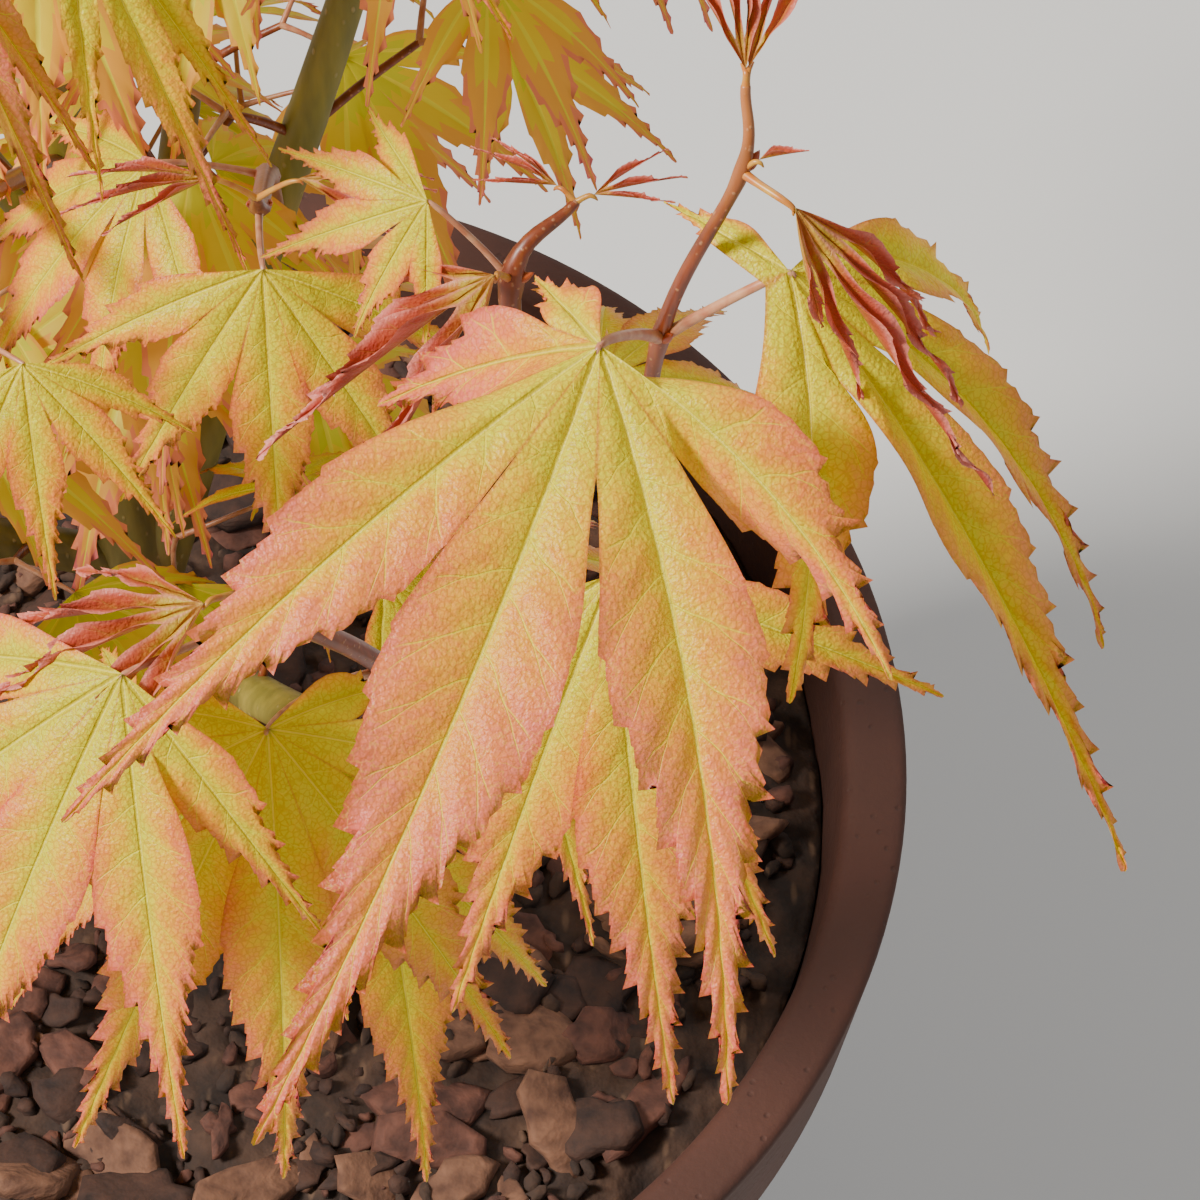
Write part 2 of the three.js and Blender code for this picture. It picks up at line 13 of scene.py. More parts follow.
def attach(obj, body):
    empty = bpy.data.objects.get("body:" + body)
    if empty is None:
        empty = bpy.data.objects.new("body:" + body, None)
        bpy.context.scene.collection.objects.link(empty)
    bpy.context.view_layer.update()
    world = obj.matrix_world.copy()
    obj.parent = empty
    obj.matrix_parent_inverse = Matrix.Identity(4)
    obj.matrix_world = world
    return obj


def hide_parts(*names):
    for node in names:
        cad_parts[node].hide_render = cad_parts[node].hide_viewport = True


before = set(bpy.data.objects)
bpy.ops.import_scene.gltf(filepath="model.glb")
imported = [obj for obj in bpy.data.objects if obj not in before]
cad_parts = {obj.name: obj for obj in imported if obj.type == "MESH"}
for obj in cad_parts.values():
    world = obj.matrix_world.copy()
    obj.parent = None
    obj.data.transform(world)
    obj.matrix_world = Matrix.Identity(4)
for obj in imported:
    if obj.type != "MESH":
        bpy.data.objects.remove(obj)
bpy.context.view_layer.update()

# Sizes of the solids that the looks follow
MM = 0.001
GAP = 0.3
UP = np.array([0.0, 0.0, 1.0])
POT = dict(
    height=160,
    base=66,
    neck=88.5,
    rim=95,
    rim_depth=24,
    overhang=3,
    undercut=0.3,
    floor=7,
    wall=5.5,
    lip=8,
    toe=3,
    toe_out=1,
    round=1.8,
)
NECK = POT["height"] - POT["rim_depth"]
# Radius and height of the pot's inside, from the floor's edge over the toe to the neck
INSIDE = [
    (POT["base"] - POT["wall"] - POT["toe"], POT["floor"]),
    (POT["base"] - POT["wall"] + POT["toe_out"], POT["floor"] + POT["toe"]),
    (POT["neck"] - POT["wall"], NECK),
]
DRAIN = dict(count=4, radius=5, ring=34, margin=11, soft=0.5)
COMPOST = dict(level=148, mound=2.5, collar=13, edge_drop=1.5)

LIMBS = {
    "trunk": dict(
        points=[[0, 0, 148.3], [0, 0, 157], [1, 1, 196], [-2, 6, 260], [-6, 12, 330], [-4, 16, 392]],
        radii=[9.5, 6.6, 5.4, 3.6, 2.4, 1.5],
    ),
    "bough_right": dict(
        points=[[1, 1, 193], [14, 2, 240], [28, 2, 290], [44, 8, 345]],
        radii=[4, 2.9, 2.2, 1.4],
    ),
    "bough_front": dict(
        points=[[1, 1, 186], [22, -38, 226], [44, -76, 272], [57, -100, 318]],
        radii=[3, 2.5, 2, 1.5],
    ),
    "bough_left": dict(points=[[0, 1, 200], [-36, -16, 236], [-72, -34, 276]], radii=[2.8, 2.1, 1.4]),
    "bough_back": dict(points=[[1, 1, 206], [8, 42, 244], [18, 82, 290]], radii=[2.8, 2.1, 1.4]),
    "bough_side": dict(points=[[-4, 9, 296], [38, 32, 314], [74, 46, 332]], radii=[2.2, 1.8, 1.3]),
    "bough_back_left": dict(points=[[-1, 5, 248], [-38, 34, 282], [-70, 56, 310]], radii=[2.2, 1.8, 1.3]),
}

# A lobe: angle from the leaf's axis, reach as a share of the leaf's length, pitch below the leaf's
# plane at its root, droop added towards its tip, sideways bend, and half width as a share of its reach.
# The rule's lobes give the first two, and chance and the leaf's age the others
FULL_LOBES = [(-110, 0.33), (-70, 0.67), (-33, 0.9), (0, 1), (33, 0.9), (70, 0.67), (110, 0.33)]
SMALL_LOBES = FULL_LOBES[1:6]
YOUNG_LOBES = [(-46, 0.68), (-23, 0.92), (0, 1), (23, 0.92), (46, 0.68)]
LARGE = 47  # a grown leaf longer than this has all seven lobes
TINY = 20  # a young leaf longer than this has all five
SINUS = 0.16  # furthest place of a notch, in shares of the leaf's length
RIB = 4.3  # from one side vein to the next on a leaf of full size
FULL_SIZE = 60  # length of the leaf whose details are given in millimetres
PETIOLE_SHARE = 0.4

LEAF_A = [
    (-118, 0.16, 31, 19, 3, 0.2),
    (-67, 0.35, 35, 10, 20, 0.16),
    (-29, 0.82, -5, 17, 11, 0.1),
    (6, 0.99, -4, 16, -9, 0.108),
    (43, 0.88, -2, 16, -17, 0.108),
    (81, 0.52, -6, 31, -29, 0.15),
    (118, 0.2, 78, 30, 0, 0.16),
]
LEAF_B = [
    (-157, 0.2, 0, 24, -14, 0.14),
    (-18, 0.56, 29, 16, -27, 0.14),
    (12, 0.91, 27, 9, -16, 0.075),
    (49, 0.81, 30, 30, -38, 0.075),
    (91, 0.53, 17, 56, -41, 0.1),
]
LEAF_C = [
    (-16, 0.33, 12, 1, 21, 0.07),
    (0, 0.66, 19, -4, 13, 0.055),
    (10, 0.97, 6, -3, 8, 0.05),
    (27, 0.79, 6, 12, -5, 0.055),
    (46, 0.76, 16, 16, -18, 0.055),
]
LEAF_K = [
    (-62, 0.56, 8, 30, 10, 0.11),
    (-26, 0.86, 2, 30, 6, 0.11),
    (0, 1, 0, 32, 6, 0.105),
    (20, 0.78, 2, 30, -2, 0.1),
    (68, 0.66, 0, 34, -8, 0.1),
]
LEAF_D = [(-17, 0.84, -4, 12, 5, 0.07), (-2, 1, 0, 16, 2, 0.07), (15, 0.88, 4, 10, -4, 0.07)]
HANGING_LEAF = [(-26, 0.72, 0, 12, 8, 0.055), (-4, 0.98, 0, 14, 4, 0.055), (12, 0.82, 4, 10, -4, 0.055)]
BUD_LEAF = [(0, 1, -10, 10, 0, 0.16)]


def placed(node, base, aim, length, lobes=None, young=False, **looks):
    """A listed leaf: the stem's node it grows from, its base, its axis's azimuth, elevation and roll."""
    return dict(node=node, base=base, aim=aim, length=length, lobes=lobes, young=young, looks=looks)


# Foliage: a placed shoot lists its stem and leaves, and the others follow the rule
SHOOTS = [
    dict(
        name="foliage_front",
        limb="bough_front",
        at=1,
        stem=[[58.4, -101.9, 341.6], [60.5, -104.7, 377.1], [66.2, -103, 394.2], [66.4, -100, 400]],
        leaves=[
            placed(2, [56, -115.1, 389.4], (-118, -26, -13), 63, LEAF_A, blush=(0.1, 0.66, 0.42),
                   fold=[16, 16, 17, 20, (31, 15), (-44, 14), 10], widen=[1.3, 1.2, 1, 1, 1, 1, 1],
                   warm=[0.15, 0.3, 0, 0, 0, 0.05, 0]),
            placed(2, [69.9, -105.7, 386.3], (-53, -9, -2), 58, LEAF_B, blush=(0.0, 0.46, 0.64),
                   fold=[16, 12, (52, 12), (46, 20), 24], widen=[1, 1.1, 1.22, 1.22, 1.1]),
            placed(3, [70, -106.4, 394.3], (-56, -41, -8), 28, LEAF_C, young=True, widen=1.45,
                   blush=(0.22, 0.5, 0.4)),
            placed(3, [67.4, -103.4, 396], (-10, 20, 0), 4, BUD_LEAF, young=True),
            placed(4, [66.4, -99.4, 401.2], (114, 52, 0), 15, LEAF_D, young=True),
            placed(4, [66.6, -99.2, 401.2], (64, 50, 0), 15, LEAF_D, young=True),
            placed(1, [57, -108, 351], (-84, -40, 0), 48, LEAF_K, blush=(0.04, 0.6, 0.42)),
        ],
    ),
    dict(
        name="foliage_front_middle",
        limb="bough_front",
        at=0.74,
        stem=[[50, -84, 332], [48.7, -80.5, 354], [54, -76, 358.5]],
        leaves=[
            placed(1, [56, -84, 345], (58, -12, 0), 26),
            placed(2, [47.5, -84, 359], (-155, -32, 8), 25, young=True),
            placed(2, [42, -78, 361], (180, -25, -35), 20),
            placed(3, [55.5, -76, 359.5], (10, 10, 0), 8, young=True),
            placed(3, [52.5, -75, 359.5], (160, 10, 0), 8, young=True),
        ],
    ),
    dict(
        name="foliage_front_left",
        limb="bough_front",
        at=0.6,
        twigs=[0.42, 0.26],
        stem=[[37, -88, 308], [28, -97, 330], [25.5, -99.5, 336]],
        leaves=[
            placed(1, [28, -104.8, 324], (-82, -42, -4), 50),
            placed(1, [36, -98, 299], (-70, -48, 0), 38),
            placed(2, [17, -108, 337], (-128, -36, -8), 46),
            placed(3, [23.5, -102, 338.5], (-165, -22, 0), 24, young=True),
        ],
    ),
    dict(
        name="foliage_inner",
        limb="bough_right",
        at=0.5,
        stem=[[23, -22, 298], [24.5, -44, 320], [25, -50, 328]],
        leaves=[
            placed(1, [12, -27, 306], (-150, -30, 0), 36),
            placed(2, [25.5, -55, 324], (-92, -46, -5), 36),
            placed(3, [29, -51, 332], (-20, 10, 0), 14, young=True),
            placed(3, [21, -51, 332], (-160, 10, 0), 14, young=True),
        ],
    ),
    dict(
        name="foliage_inner_left",
        limb="trunk",
        at=0.62,
        stem=[[-4, -30, 304], [-5, -58, 324], [-6, -66, 332]],
        leaves=[
            placed(1, [-20, -34, 310], (-165, -26, 0), 40),
            placed(2, [5.8, -72, 332], (-78, -34, 4), 24),
            placed(2, [-18, -66, 330], (-150, -30, 0), 36),
            placed(3, [-6, -68, 334], (-100, 20, 0), 15, young=True),
        ],
    ),
    dict(
        name="foliage_upper_front",
        limb="trunk",
        at=0.78,
        stem=[[0, -28, 366], [14, -56, 390], [22, -68, 399], [25, -72, 406]],
        leaves=[
            placed(1, [-14, -36, 378], (-160, -24, 0), 44),
            placed(1, [16, -30, 378], (-12, -14, 0), 42),
            placed(2, [-2, -64, 402], (-146, -24, 0), 45),
            placed(2, [28, -56, 401], (-16, -16, 0), 40),
            placed(3, [17, -82.5, 402.5], (-50, -44, 4), 33, HANGING_LEAF, blush=(-0.25, 1.25, 0.2),
                   fold=25, widen=1.15),
            placed(3, [5, -84.5, 403.5], (-50, -42, -6), 33, HANGING_LEAF, blush=(0.55, 0.35, 0.2),
                   fold=35, widen=1.15),
            placed(4, [26, -74, 409], (-60, 25, 0), 15, young=True),
        ],
    ),
    dict(name="foliage_top", limb="trunk", at=1, aim=(95, 66), length=72, pairs=3, leaf=46, seed=13,
         twigs=[0.87, 0.73, 0.58]),
    dict(name="foliage_top_left", limb="trunk", at=0.84, aim=(188, 38), length=66, pairs=2, leaf=46, seed=23,
         twigs=[0.71, 0.57, 0.42]),
    dict(name="foliage_right_top", limb="bough_right", at=1, aim=(-6, 46), length=74, pairs=3, leaf=45,
         seed=47, twigs=[0.87, 0.73, 0.58]),
    dict(name="foliage_right", limb="bough_side", at=1, aim=(16, 30), length=70, pairs=3, leaf=46, seed=49,
         twigs=[0.9, 0.78, 0.65, 0.5, 0.34]),
    dict(name="foliage_left", limb="bough_left", at=1, aim=(192, 34), length=72, pairs=3, leaf=48, seed=54,
         twigs=[0.9, 0.8, 0.7]),
    dict(name="foliage_left_front", limb="bough_left", at=0.6, aim=(-128, 20), length=56, pairs=2, leaf=42,
         seed=75, twigs=[0.5, 0.38, 0.26, 0.14]),
    dict(name="foliage_back", limb="bough_back", at=1, aim=(84, 34), length=72, pairs=3, leaf=48, seed=81,
         twigs=[0.9, 0.8, 0.7]),
    dict(name="foliage_back_right", limb="bough_back", at=0.55, aim=(42, 30), length=62, pairs=2, leaf=44,
         seed=85, twigs=[0.48, 0.36, 0.24, 0.12]),
    dict(name="foliage_back_left", limb="bough_back_left", at=1, aim=(146, 34), length=70, pairs=3, leaf=47,
         seed=99, twigs=[0.9, 0.78, 0.65, 0.5, 0.34]),
]
RULE = dict(
    wander=7,
    lift=7,
    shorten=0.78,
    shrink=0.8,
    size=(0.92, 1.06),
    quarter=58,
    spread=[78, 56, 36],
    outward=0.72,
    along=0.55,
    upward=0.42,
    facing=8,
    tilting=10,
    drooping=(18, 30),
    tip_stem=0.14,
    tip_leaf=0.32,
    tip_size=(0.9, 1.1),
    tip_petiole=0.35,
    tip_steeper=25,
    tip_rise=30,
    tip_spread=(35, 60),
)

# Lobes by the rule: chance in each, bend for each degree of its angle, and the angle past which it is
# an outer one. By the leaf's age: pitch, what each degree adds to it, droop and half widths
LOBE = dict(turn=(-4, 4), reach=(0.94, 1.06), bend=-0.22, outer=100)
YOUNG_LOBE = dict(pitch=(-8, 6), steeper=0, droop=(5, 25), width=0.07, outer_width=0.07)
GROWN_LOBE = dict(pitch=(1, 7), steeper=0.08, droop=(22, 42), width=0.11, outer_width=0.15)

# Finer growth of the rule: short twigs at a shoot's nodes, and longer ones lower on its limb
FINE_TWIG = dict(length=(6, 11), leaf=(11, 18), rise=28, tilt=24, stalk=0.35, young=True, radius=0.4)
LIMB_TWIG = dict(length=(9, 18), leaf=(24, 34), rise=24, tilt=-24, stalk=0.4, young=False, radius=0.55)
TWIG_WAY = dict(along=(0.3, 0.9), upward=(0.3, 0.8), arch=0.5)

# Vectors and curves


def unit(v):
    return v / np.linalg.norm(v, axis=-1, keepdims=True)


def heading(azimuth, elevation):
    """Unit vector (cos e cos a, cos e sin a, sin e) of an azimuth a and an elevation e."""
    a, e = math.radians(azimuth), math.radians(elevation)
    return np.array([math.cos(e) * math.cos(a), math.cos(e) * math.sin(a), math.sin(e)])


def turned(v, axis, degrees):
    """v turned about a unit axis: v cos + (axis x v) sin + axis (axis . v)(1 - cos)."""
    c, s = math.cos(math.radians(degrees)), math.sin(math.radians(degrees))
    return v * c + np.cross(axis, v) * s + axis * (axis @ v) * (1 - c)


def smooth(low, high, x):
    """0 below low, 1 above high, and 3t^2 - 2t^3 between them."""
    t = np.clip((x - low) / (high - low), 0, 1)
    return t * t * (3 - 2 * t)


def spline(points, shares):
    """Points at some shares of the smooth curve through given points: a cubic on each span, whose slope at
    a point is half the step from the point before it to the one after."""
    points = np.asarray(points, float)
    ends = np.vstack([2 * points[0] - points[1], points, 2 * points[-1] - points[-2]])
    place = np.asarray(shares, float) * (len(points) - 1)
    span = np.minimum(place.astype(int), len(points) - 2)
    w = (place - span)[:, None]
    a, b, c, d = (ends[span + k] for k in range(4))
    leave, arrive = (c - a) / 2, (d - b) / 2
    return b + leave * w + (3 * (c - b) - 2 * leave - arrive) * w**2 + (2 * (b - c) + leave + arrive) * w**3


class Chance:
    """Seeded draws between two values."""

    def __init__(self, seed):
        self.state = seed

    def between(self, low, high):
        self.state = (self.state * 1664525 + 1013904223) % 2**32
        return low + (high - low) * self.state / 2**32


# The growing rule


def lobes_for(length, young, chance):
    """Lobes of a leaf by the rule, with a little chance in each."""
    if young:
        usual, habit = YOUNG_LOBES if length > TINY else YOUNG_LOBES[1:4], YOUNG_LOBE
    else:
        usual, habit = FULL_LOBES if length > LARGE else SMALL_LOBES, GROWN_LOBE
    lobes = []
    for angle, reach in usual:
        turn = angle + chance.between(*LOBE["turn"])
        far = reach * chance.between(*LOBE["reach"])
        pitch = habit["steeper"] * abs(angle) + chance.between(*habit["pitch"])
        droop = chance.between(*habit["droop"])
        width = habit["outer_width"] if abs(angle) > LOBE["outer"] else habit["width"]
        lobes.append((turn, far, pitch, droop, LOBE["bend"] * angle, width))
    return lobes


def leaf_of(node, base, length, lobes, aim, young, looks):
    """A leaf's axis follows its aim, and its normal is the upright one, rolled about the axis."""
    axis = heading(aim[0], aim[1])
    normal = turned(unit(UP - axis * axis[2]), axis, aim[2])
    return dict(node=node, base=np.asarray(base, float), length=length, lobes=lobes, axis=axis, normal=normal,
                young=young, looks=looks)


def grow(shoot):
    """Stem and leaves of a shoot, which starts on its limb, or a little beyond the limb's tip."""
    chance = Chance(shoot.get("seed", len(shoot["name"])))
    points = LIMBS[shoot["limb"]]["points"]
    start = spline(points, [shoot["at"]])[0]
    if shoot["at"] == 1:
        start = start + unit(start - spline(points, [1 - 1e-4])[0]) * GAP
    shape = placed_shoot if "stem" in shoot else ruled_shoot
    stem, leaves = shape(shoot, start, chance)
    return stem, leaves + limb_twigs(shoot, chance)


def placed_shoot(shoot, start, chance):
    """Stem and leaves as listed, with lobes by the rule where a leaf gives none."""
    stem = [start, *(np.array(point, float) for point in shoot["stem"])]
    leaves = []
    for leaf in shoot["leaves"]:
        lobes = leaf["lobes"] or lobes_for(leaf["length"], leaf["young"], chance)
        leaves.append(leaf_of(stem[leaf["node"]], leaf["base"], leaf["length"], lobes, leaf["aim"],
                              leaf["young"], leaf["looks"]))
    return stem, leaves


def ruled_shoot(shoot, start, chance):
    """Pairs of leaves up a rising stem, each pair turned about it and smaller than the one before, and two
    small leaves at the tip. Leaves that the solid shoot has not are left out, and finer twigs are added."""
    stem = [start]
    leaves = []
    azimuth, elevation = shoot["aim"]
    total = sum(RULE["shorten"] ** k for k in range(shoot["pairs"]))
    for k in range(shoot["pairs"]):
        azimuth += chance.between(-RULE["wander"], RULE["wander"])
        elevation += RULE["lift"]
        run = heading(azimuth, elevation)
        node = stem[-1] + run * (shoot["length"] * RULE["shorten"] ** k / total)
        stem.append(node)
        right = unit(np.cross(run, UP))
        for side in (-1, 1):
            out = -side * turned(right, run, RULE["quarter"] * k)
            rise = unit(out * RULE["outward"] + run * RULE["along"] + UP * RULE["upward"])
            length = shoot["leaf"] * RULE["shrink"] ** k * chance.between(*RULE["size"])
            base = node + rise * PETIOLE_SHARE * length
            face = azimuth + side * (RULE["spread"][k] + chance.between(-RULE["facing"], RULE["facing"]))
            droop = -chance.between(*RULE["drooping"])
            roll = chance.between(-RULE["tilting"], RULE["tilting"])
            lobes = lobes_for(length, False, chance)
            leaves.append(leaf_of(node, base, length, lobes, (face, droop, roll), False, {}))
    node = stem[-1] + heading(azimuth, elevation + RULE["lift"]) * RULE["tip_stem"] * shoot["length"]
    stem.append(node)
    for side in (-1, 1):
        length = shoot["leaf"] * RULE["tip_leaf"] * chance.between(*RULE["tip_size"])
        face = azimuth + side * chance.between(*RULE["tip_spread"])
        base = node + heading(face, elevation + RULE["tip_steeper"]) * RULE["tip_petiole"] * length
        lobes = lobes_for(length, True, chance)
        leaves.append(leaf_of(node, base, length, lobes, (face, RULE["tip_rise"], 0), True, {}))
    solid = np.array([v.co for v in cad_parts[shoot["name"]].data.vertices]) / MM
    leaves = [leaf for leaf in leaves if in_solid(leaf, solid)]
    return stem, leaves + side_twigs(stem, chance)


def in_solid(leaf, solid, near=0.7):
    """True if the solid shoot has this leaf, which it has where every lobe's tip is a corner of it."""
    tips = np.array([Lobe(leaf, lobe).at(TIP)[0][0] for lobe in leaf["lobes"]])
    gaps = np.linalg.norm(solid[None] - tips[:, None], axis=2).min(1)
    return bool((gaps < near).all())


def side_twigs(stem, chance):
    """Finer growth at the nodes of a stem."""
    leaves = []
    for before, node, after in zip(stem, stem[1:], stem[2:]):
        leaves += twig_pair(node, unit(after - before), 0, FINE_TWIG, chance)
    return leaves


def limb_twigs(shoot, chance, step=0.02):
    """Finer growth on the shoot's limb, at the shares of its length that the shoot lists."""
    leaves = []
    for k, share in enumerate(shoot.get("twigs", [])):
        node, after = spline(LIMBS[shoot["limb"]]["points"], [share, share + step])
        leaves += twig_pair(node, unit(after - node), RULE["quarter"] * k, LIMB_TWIG, chance)
    return leaves


def twig_pair(node, run, turn, kind, chance):
    """Two twigs on opposite sides of a limb that runs one way, each with a pair of leaves. The first leaf of
    a twig holds its points."""
    leaves = []
    right = turned(unit(np.cross(run, UP)), run, turn)
    for side in (-1, 1):
        along, upward = chance.between(*TWIG_WAY["along"]), chance.between(*TWIG_WAY["upward"])
        way = unit(right * side + run * along + UP * upward)
        tip = node + way * chance.between(*kind["length"])
        twig = dict(points=[node, (node + tip) / 2 + UP * TWIG_WAY["arch"], tip], radius=kind["radius"])
        azimuth = math.degrees(math.atan2(way[1], way[0]))
        for hand in (-1, 1):
            length = chance.between(*kind["leaf"])
            face = azimuth + hand * chance.between(*RULE["tip_spread"])
            base = tip + heading(face, kind["rise"]) * kind["stalk"] * length
            lobes = lobes_for(length, kind["young"], chance)
            leaf = leaf_of(tip, base, length, lobes, (face, kind["tilt"], 0), kind["young"], {})
            leaves.append(dict(leaf, twig=twig if hand < 0 else None))
    return leaves


# Leaf surfaces

VEIN_STEPS = 240
TIP = np.array([1.0])


class Lobe:
    """The middle vein of a lobe and the directions along it, at even shares t of its length. Its heading
    turns by bend * t in the leaf's plane and falls by pitch + droop * t below it, and its points are the
    running sum of the heading."""

    def __init__(self, leaf, lobe, widen=1.0):
        angle, self.reach, pitch, droop, bend, width = lobe
        self.length = leaf["length"] * self.reach
        self.half = self.length * width * widen
        self.shares = np.linspace(0, 1, VEIN_STEPS + 1)
        turn = np.radians(angle + bend * self.shares)[:, None]
        fall = np.radians(pitch + droop * self.shares)[:, None]
        left = np.cross(leaf["normal"], leaf["axis"])
        flat = np.cos(turn) * leaf["axis"] + np.sin(turn) * left
        side = np.cos(turn) * left - np.sin(turn) * leaf["axis"]
        along = np.cos(fall) * flat - np.sin(fall) * leaf["normal"]
        normal = np.sin(fall) * flat + np.cos(fall) * leaf["normal"]
        middle = (along[1:] + along[:-1]) / 2 * (self.length / VEIN_STEPS)
        points = leaf["base"] + np.vstack([np.zeros(3), np.cumsum(middle, 0)])
        self.table = np.hstack([points, along, side, normal])

    def at(self, share):
        """Middle vein point, heading, left side and normal at an array of shares."""
        flat = np.asarray(share).ravel()
        columns = [np.interp(flat, self.shares, column) for column in self.table.T]
        rows = np.stack(columns, -1).reshape(*np.shape(share), 12)
        return rows[..., :3], rows[..., 3:6], rows[..., 6:9], rows[..., 9:]

    def width(self, share):
        """Half width at a share t: half (1 - (1 - t / 0.42)^2.2), a wedge from the leaf's base, times
        0.61 exp(-((t - 0.43) / 0.24)^2), a hump, plus 0.51 sqrt(1 - t), a long point."""
        wedge = 1 - np.clip(1 - share / 0.42, 0, 1) ** 2.2
        hump = 0.61 * np.exp(-(((share - 0.43) / 0.24) ** 2))
        return self.half * wedge * (hump + 0.51 * np.sqrt(np.clip(1 - share, 0, 1)))


# Detail of a leaf's mesh: places across each half blade, rows up to the notch and up to the first tooth,
# and the rows of one tooth: (phase, outward, forward) in shares of the tooth's depth and spacing.
# Blush is the redness at the leaf's base, what its tips add to that, and what its edges add
FINE = dict(
    across=[0, 0.03, 0.07, 0.16, 0.3, 0.45, 0.6, 0.74, 0.86, 0.94, 1],
    rows=(9, 7),
    tooth=[(0, -0.9, 0), (0.13, -0.6, 0), (0.26, -0.32, 0.03), (0.31, -0.46, 0), (0.46, -0.14, 0.02),
           (0.59, 0.06, 0.05), (0.64, -0.08, 0.01), (0.88, 0.42, 0.14)],
    spacing=4.2,
    blush=(0.02, 0.42, 0.5),
)
MIDDLE = dict(
    across=[0, 0.04, 0.12, 0.3, 0.5, 0.7, 0.87, 1],
    rows=(6, 5),
    tooth=[(0, -0.85, 0), (0.24, -0.42, 0.02), (0.3, -0.55, 0), (0.55, -0.02, 0.04), (0.61, -0.16, 0),
           (0.88, 0.4, 0.14)],
    spacing=3.9,
    blush=(0.02, 0.42, 0.5),
)
PLAIN = dict(
    across=[0, 0.07, 0.25, 0.45, 0.65, 0.83, 1],
    rows=(4, 3),
    tooth=[(0, -0.7, 0), (0.3, -0.35, 0), (0.6, -0.1, 0), (0.86, 0.32, 0.12)],
    spacing=3.4,
    blush=(0.03, 0.42, 0.3),
    tints=True,
)
SMALL = dict(
    across=[0, 0.1, 0.5, 0.8, 1],
    rows=(3, 2),
    tooth=[(0, -0.7, 0), (0.45, -0.2, 0), (0.85, 0.3, 0.1)],
    spacing=4.2,
    blush=(0.03, 0.42, 0.3),
    tints=True,
)
SMALL_LEAF = 35  # a shorter leaf by the rule takes the last of these

# How a blade lies by its age: the fold of its halves, its width, the curl of its edges and their ripple
YOUNG_BLADE = dict(fold=74, widen=1.45, blush=(0.1, 0.55, 0.4), curl=0.064, wave=1.3)
GROWN_BLADE = dict(fold=14, widen=1, curl=0.16, wave=0.3)

# Teeth: depth in mm on a leaf of full size, and at most in shares of the lobe's half width, sizes, every
# third one larger, and the deepest cut in shares of the width where it lies
TEETH = dict(fewest=3, depth=1.5, share=0.34, size=(0.6, 1.15), every=3, larger=1.4, cut=0.55)

# Relief in mm on a leaf of full size: the swelling between side veins, and the middle vein's groove with
# its width. Beyond a notch its pull on the width and on the points fades within these shares
RELIEF = dict(swell=0.2, groove=0.16, groove_width=0.5)
NOTCH_FADE = dict(width=0.07, points=0.06)
SLANT = 0.45  # of the side veins
MOOD = 0.06  # most that a whole leaf is redder or greener than another

# The UV maps hold shares of these: the veins counted along a lobe, and the distance from its middle
# vein in widths of that vein
VEIN_COUNT = 20
VEIN_REACH = 8
WELD = 0.001  # points nearer than this are made one


class Sheets:
    """Grids of points gathered into one mesh, with values kept at each corner."""

    def __init__(self):
        self.points, self.faces, self.values, self.slots = [], [], [], []
        self.count = 0

    def add(self, grid, values=None, slot=0, flip=False, wrap=False):
        """A grid of rows x columns of points, as two triangles a cell; wrap joins the last column to the
        first. values is the same grid of numbers, and slot one number or one for each cell."""
        rows, columns = grid.shape[:2]
        index = self.count + np.arange(rows * columns).reshape(rows, columns)
        if wrap:
            index = np.hstack([index, index[:, :1]])
        a, b, c, d = index[:-1, :-1], index[1:, :-1], index[1:, 1:], index[:-1, 1:]
        order = [(a, b, c), (a, c, d)] if not flip else [(a, c, b), (a, d, c)]
        cells = np.stack([np.stack(tri, -1) for tri in order], 2)
        self.faces.append(cells.reshape(-1, 3))
        self.slots.append(np.repeat(np.broadcast_to(slot, a.shape).ravel(), 2))
        self.points.append(grid.reshape(-1, 3))
        if values is not None:
            self.values.append(values.reshape(rows * columns, -1))
        self.count += rows * columns

    def fan(self, centre, ring, flip=False):
        """Triangles from a centre to a closed ring of points."""
        n = len(ring)
        k = np.arange(n)
        hub = np.full(n, self.count + n)
        first, second = self.count + k, self.count + (k + 1) % n
        self.points.append(np.vstack([ring, centre]))
        self.faces.append(np.stack([hub, second, first] if flip else [hub, first, second], -1))
        self.slots.append(np.zeros(n, int))
        self.count += n + 1

    def mesh(self, name, materials, layers=()):
        """The joined mesh: equal points are made one, and faces that shrink to nothing are dropped. Each
        layer names two columns of the values, which become a UV map."""
        points = np.vstack(self.points)
        faces = np.vstack(self.faces)
        slots = np.concatenate(self.slots)
        # One whole number for each point, from its three rounded coordinates
        keys = np.round(points / WELD).astype(np.int64) + 2**19
        keys = keys[:, 0] + keys[:, 1] * 2**20 + keys[:, 2] * 2**40
        _, first, back = np.unique(keys, return_index=True, return_inverse=True)
        joined = back[faces]
        real = (joined != np.roll(joined, 1, axis=1)).all(1)
        faces, joined, slots = faces[real], joined[real], slots[real]
        mesh = bpy.data.meshes.new(name)
        mesh.vertices.add(len(first))
        mesh.vertices.foreach_set("co", (points[first] * MM).astype(np.float32).ravel())
        mesh.loops.add(joined.size)
        mesh.loops.foreach_set("vertex_index", joined.astype(np.int32).ravel())
        mesh.polygons.add(len(joined))
        mesh.polygons.foreach_set("loop_start", np.arange(0, joined.size, 3, dtype=np.int32))
        mesh.polygons.foreach_set("material_index", slots.astype(np.int32))
        mesh.polygons.foreach_set("use_smooth", np.ones(len(joined), bool))
        values = np.vstack(self.values)[faces.ravel()] if self.values else None
        for label, columns in layers:
            layer = mesh.uv_layers.new(name=label)
            layer.uv.foreach_set("vector", values[:, columns].astype(np.float32).ravel())
        for material in materials:
            mesh.materials.append(material)
        mesh.update(calc_edges=True)
        mesh.validate()
        return mesh


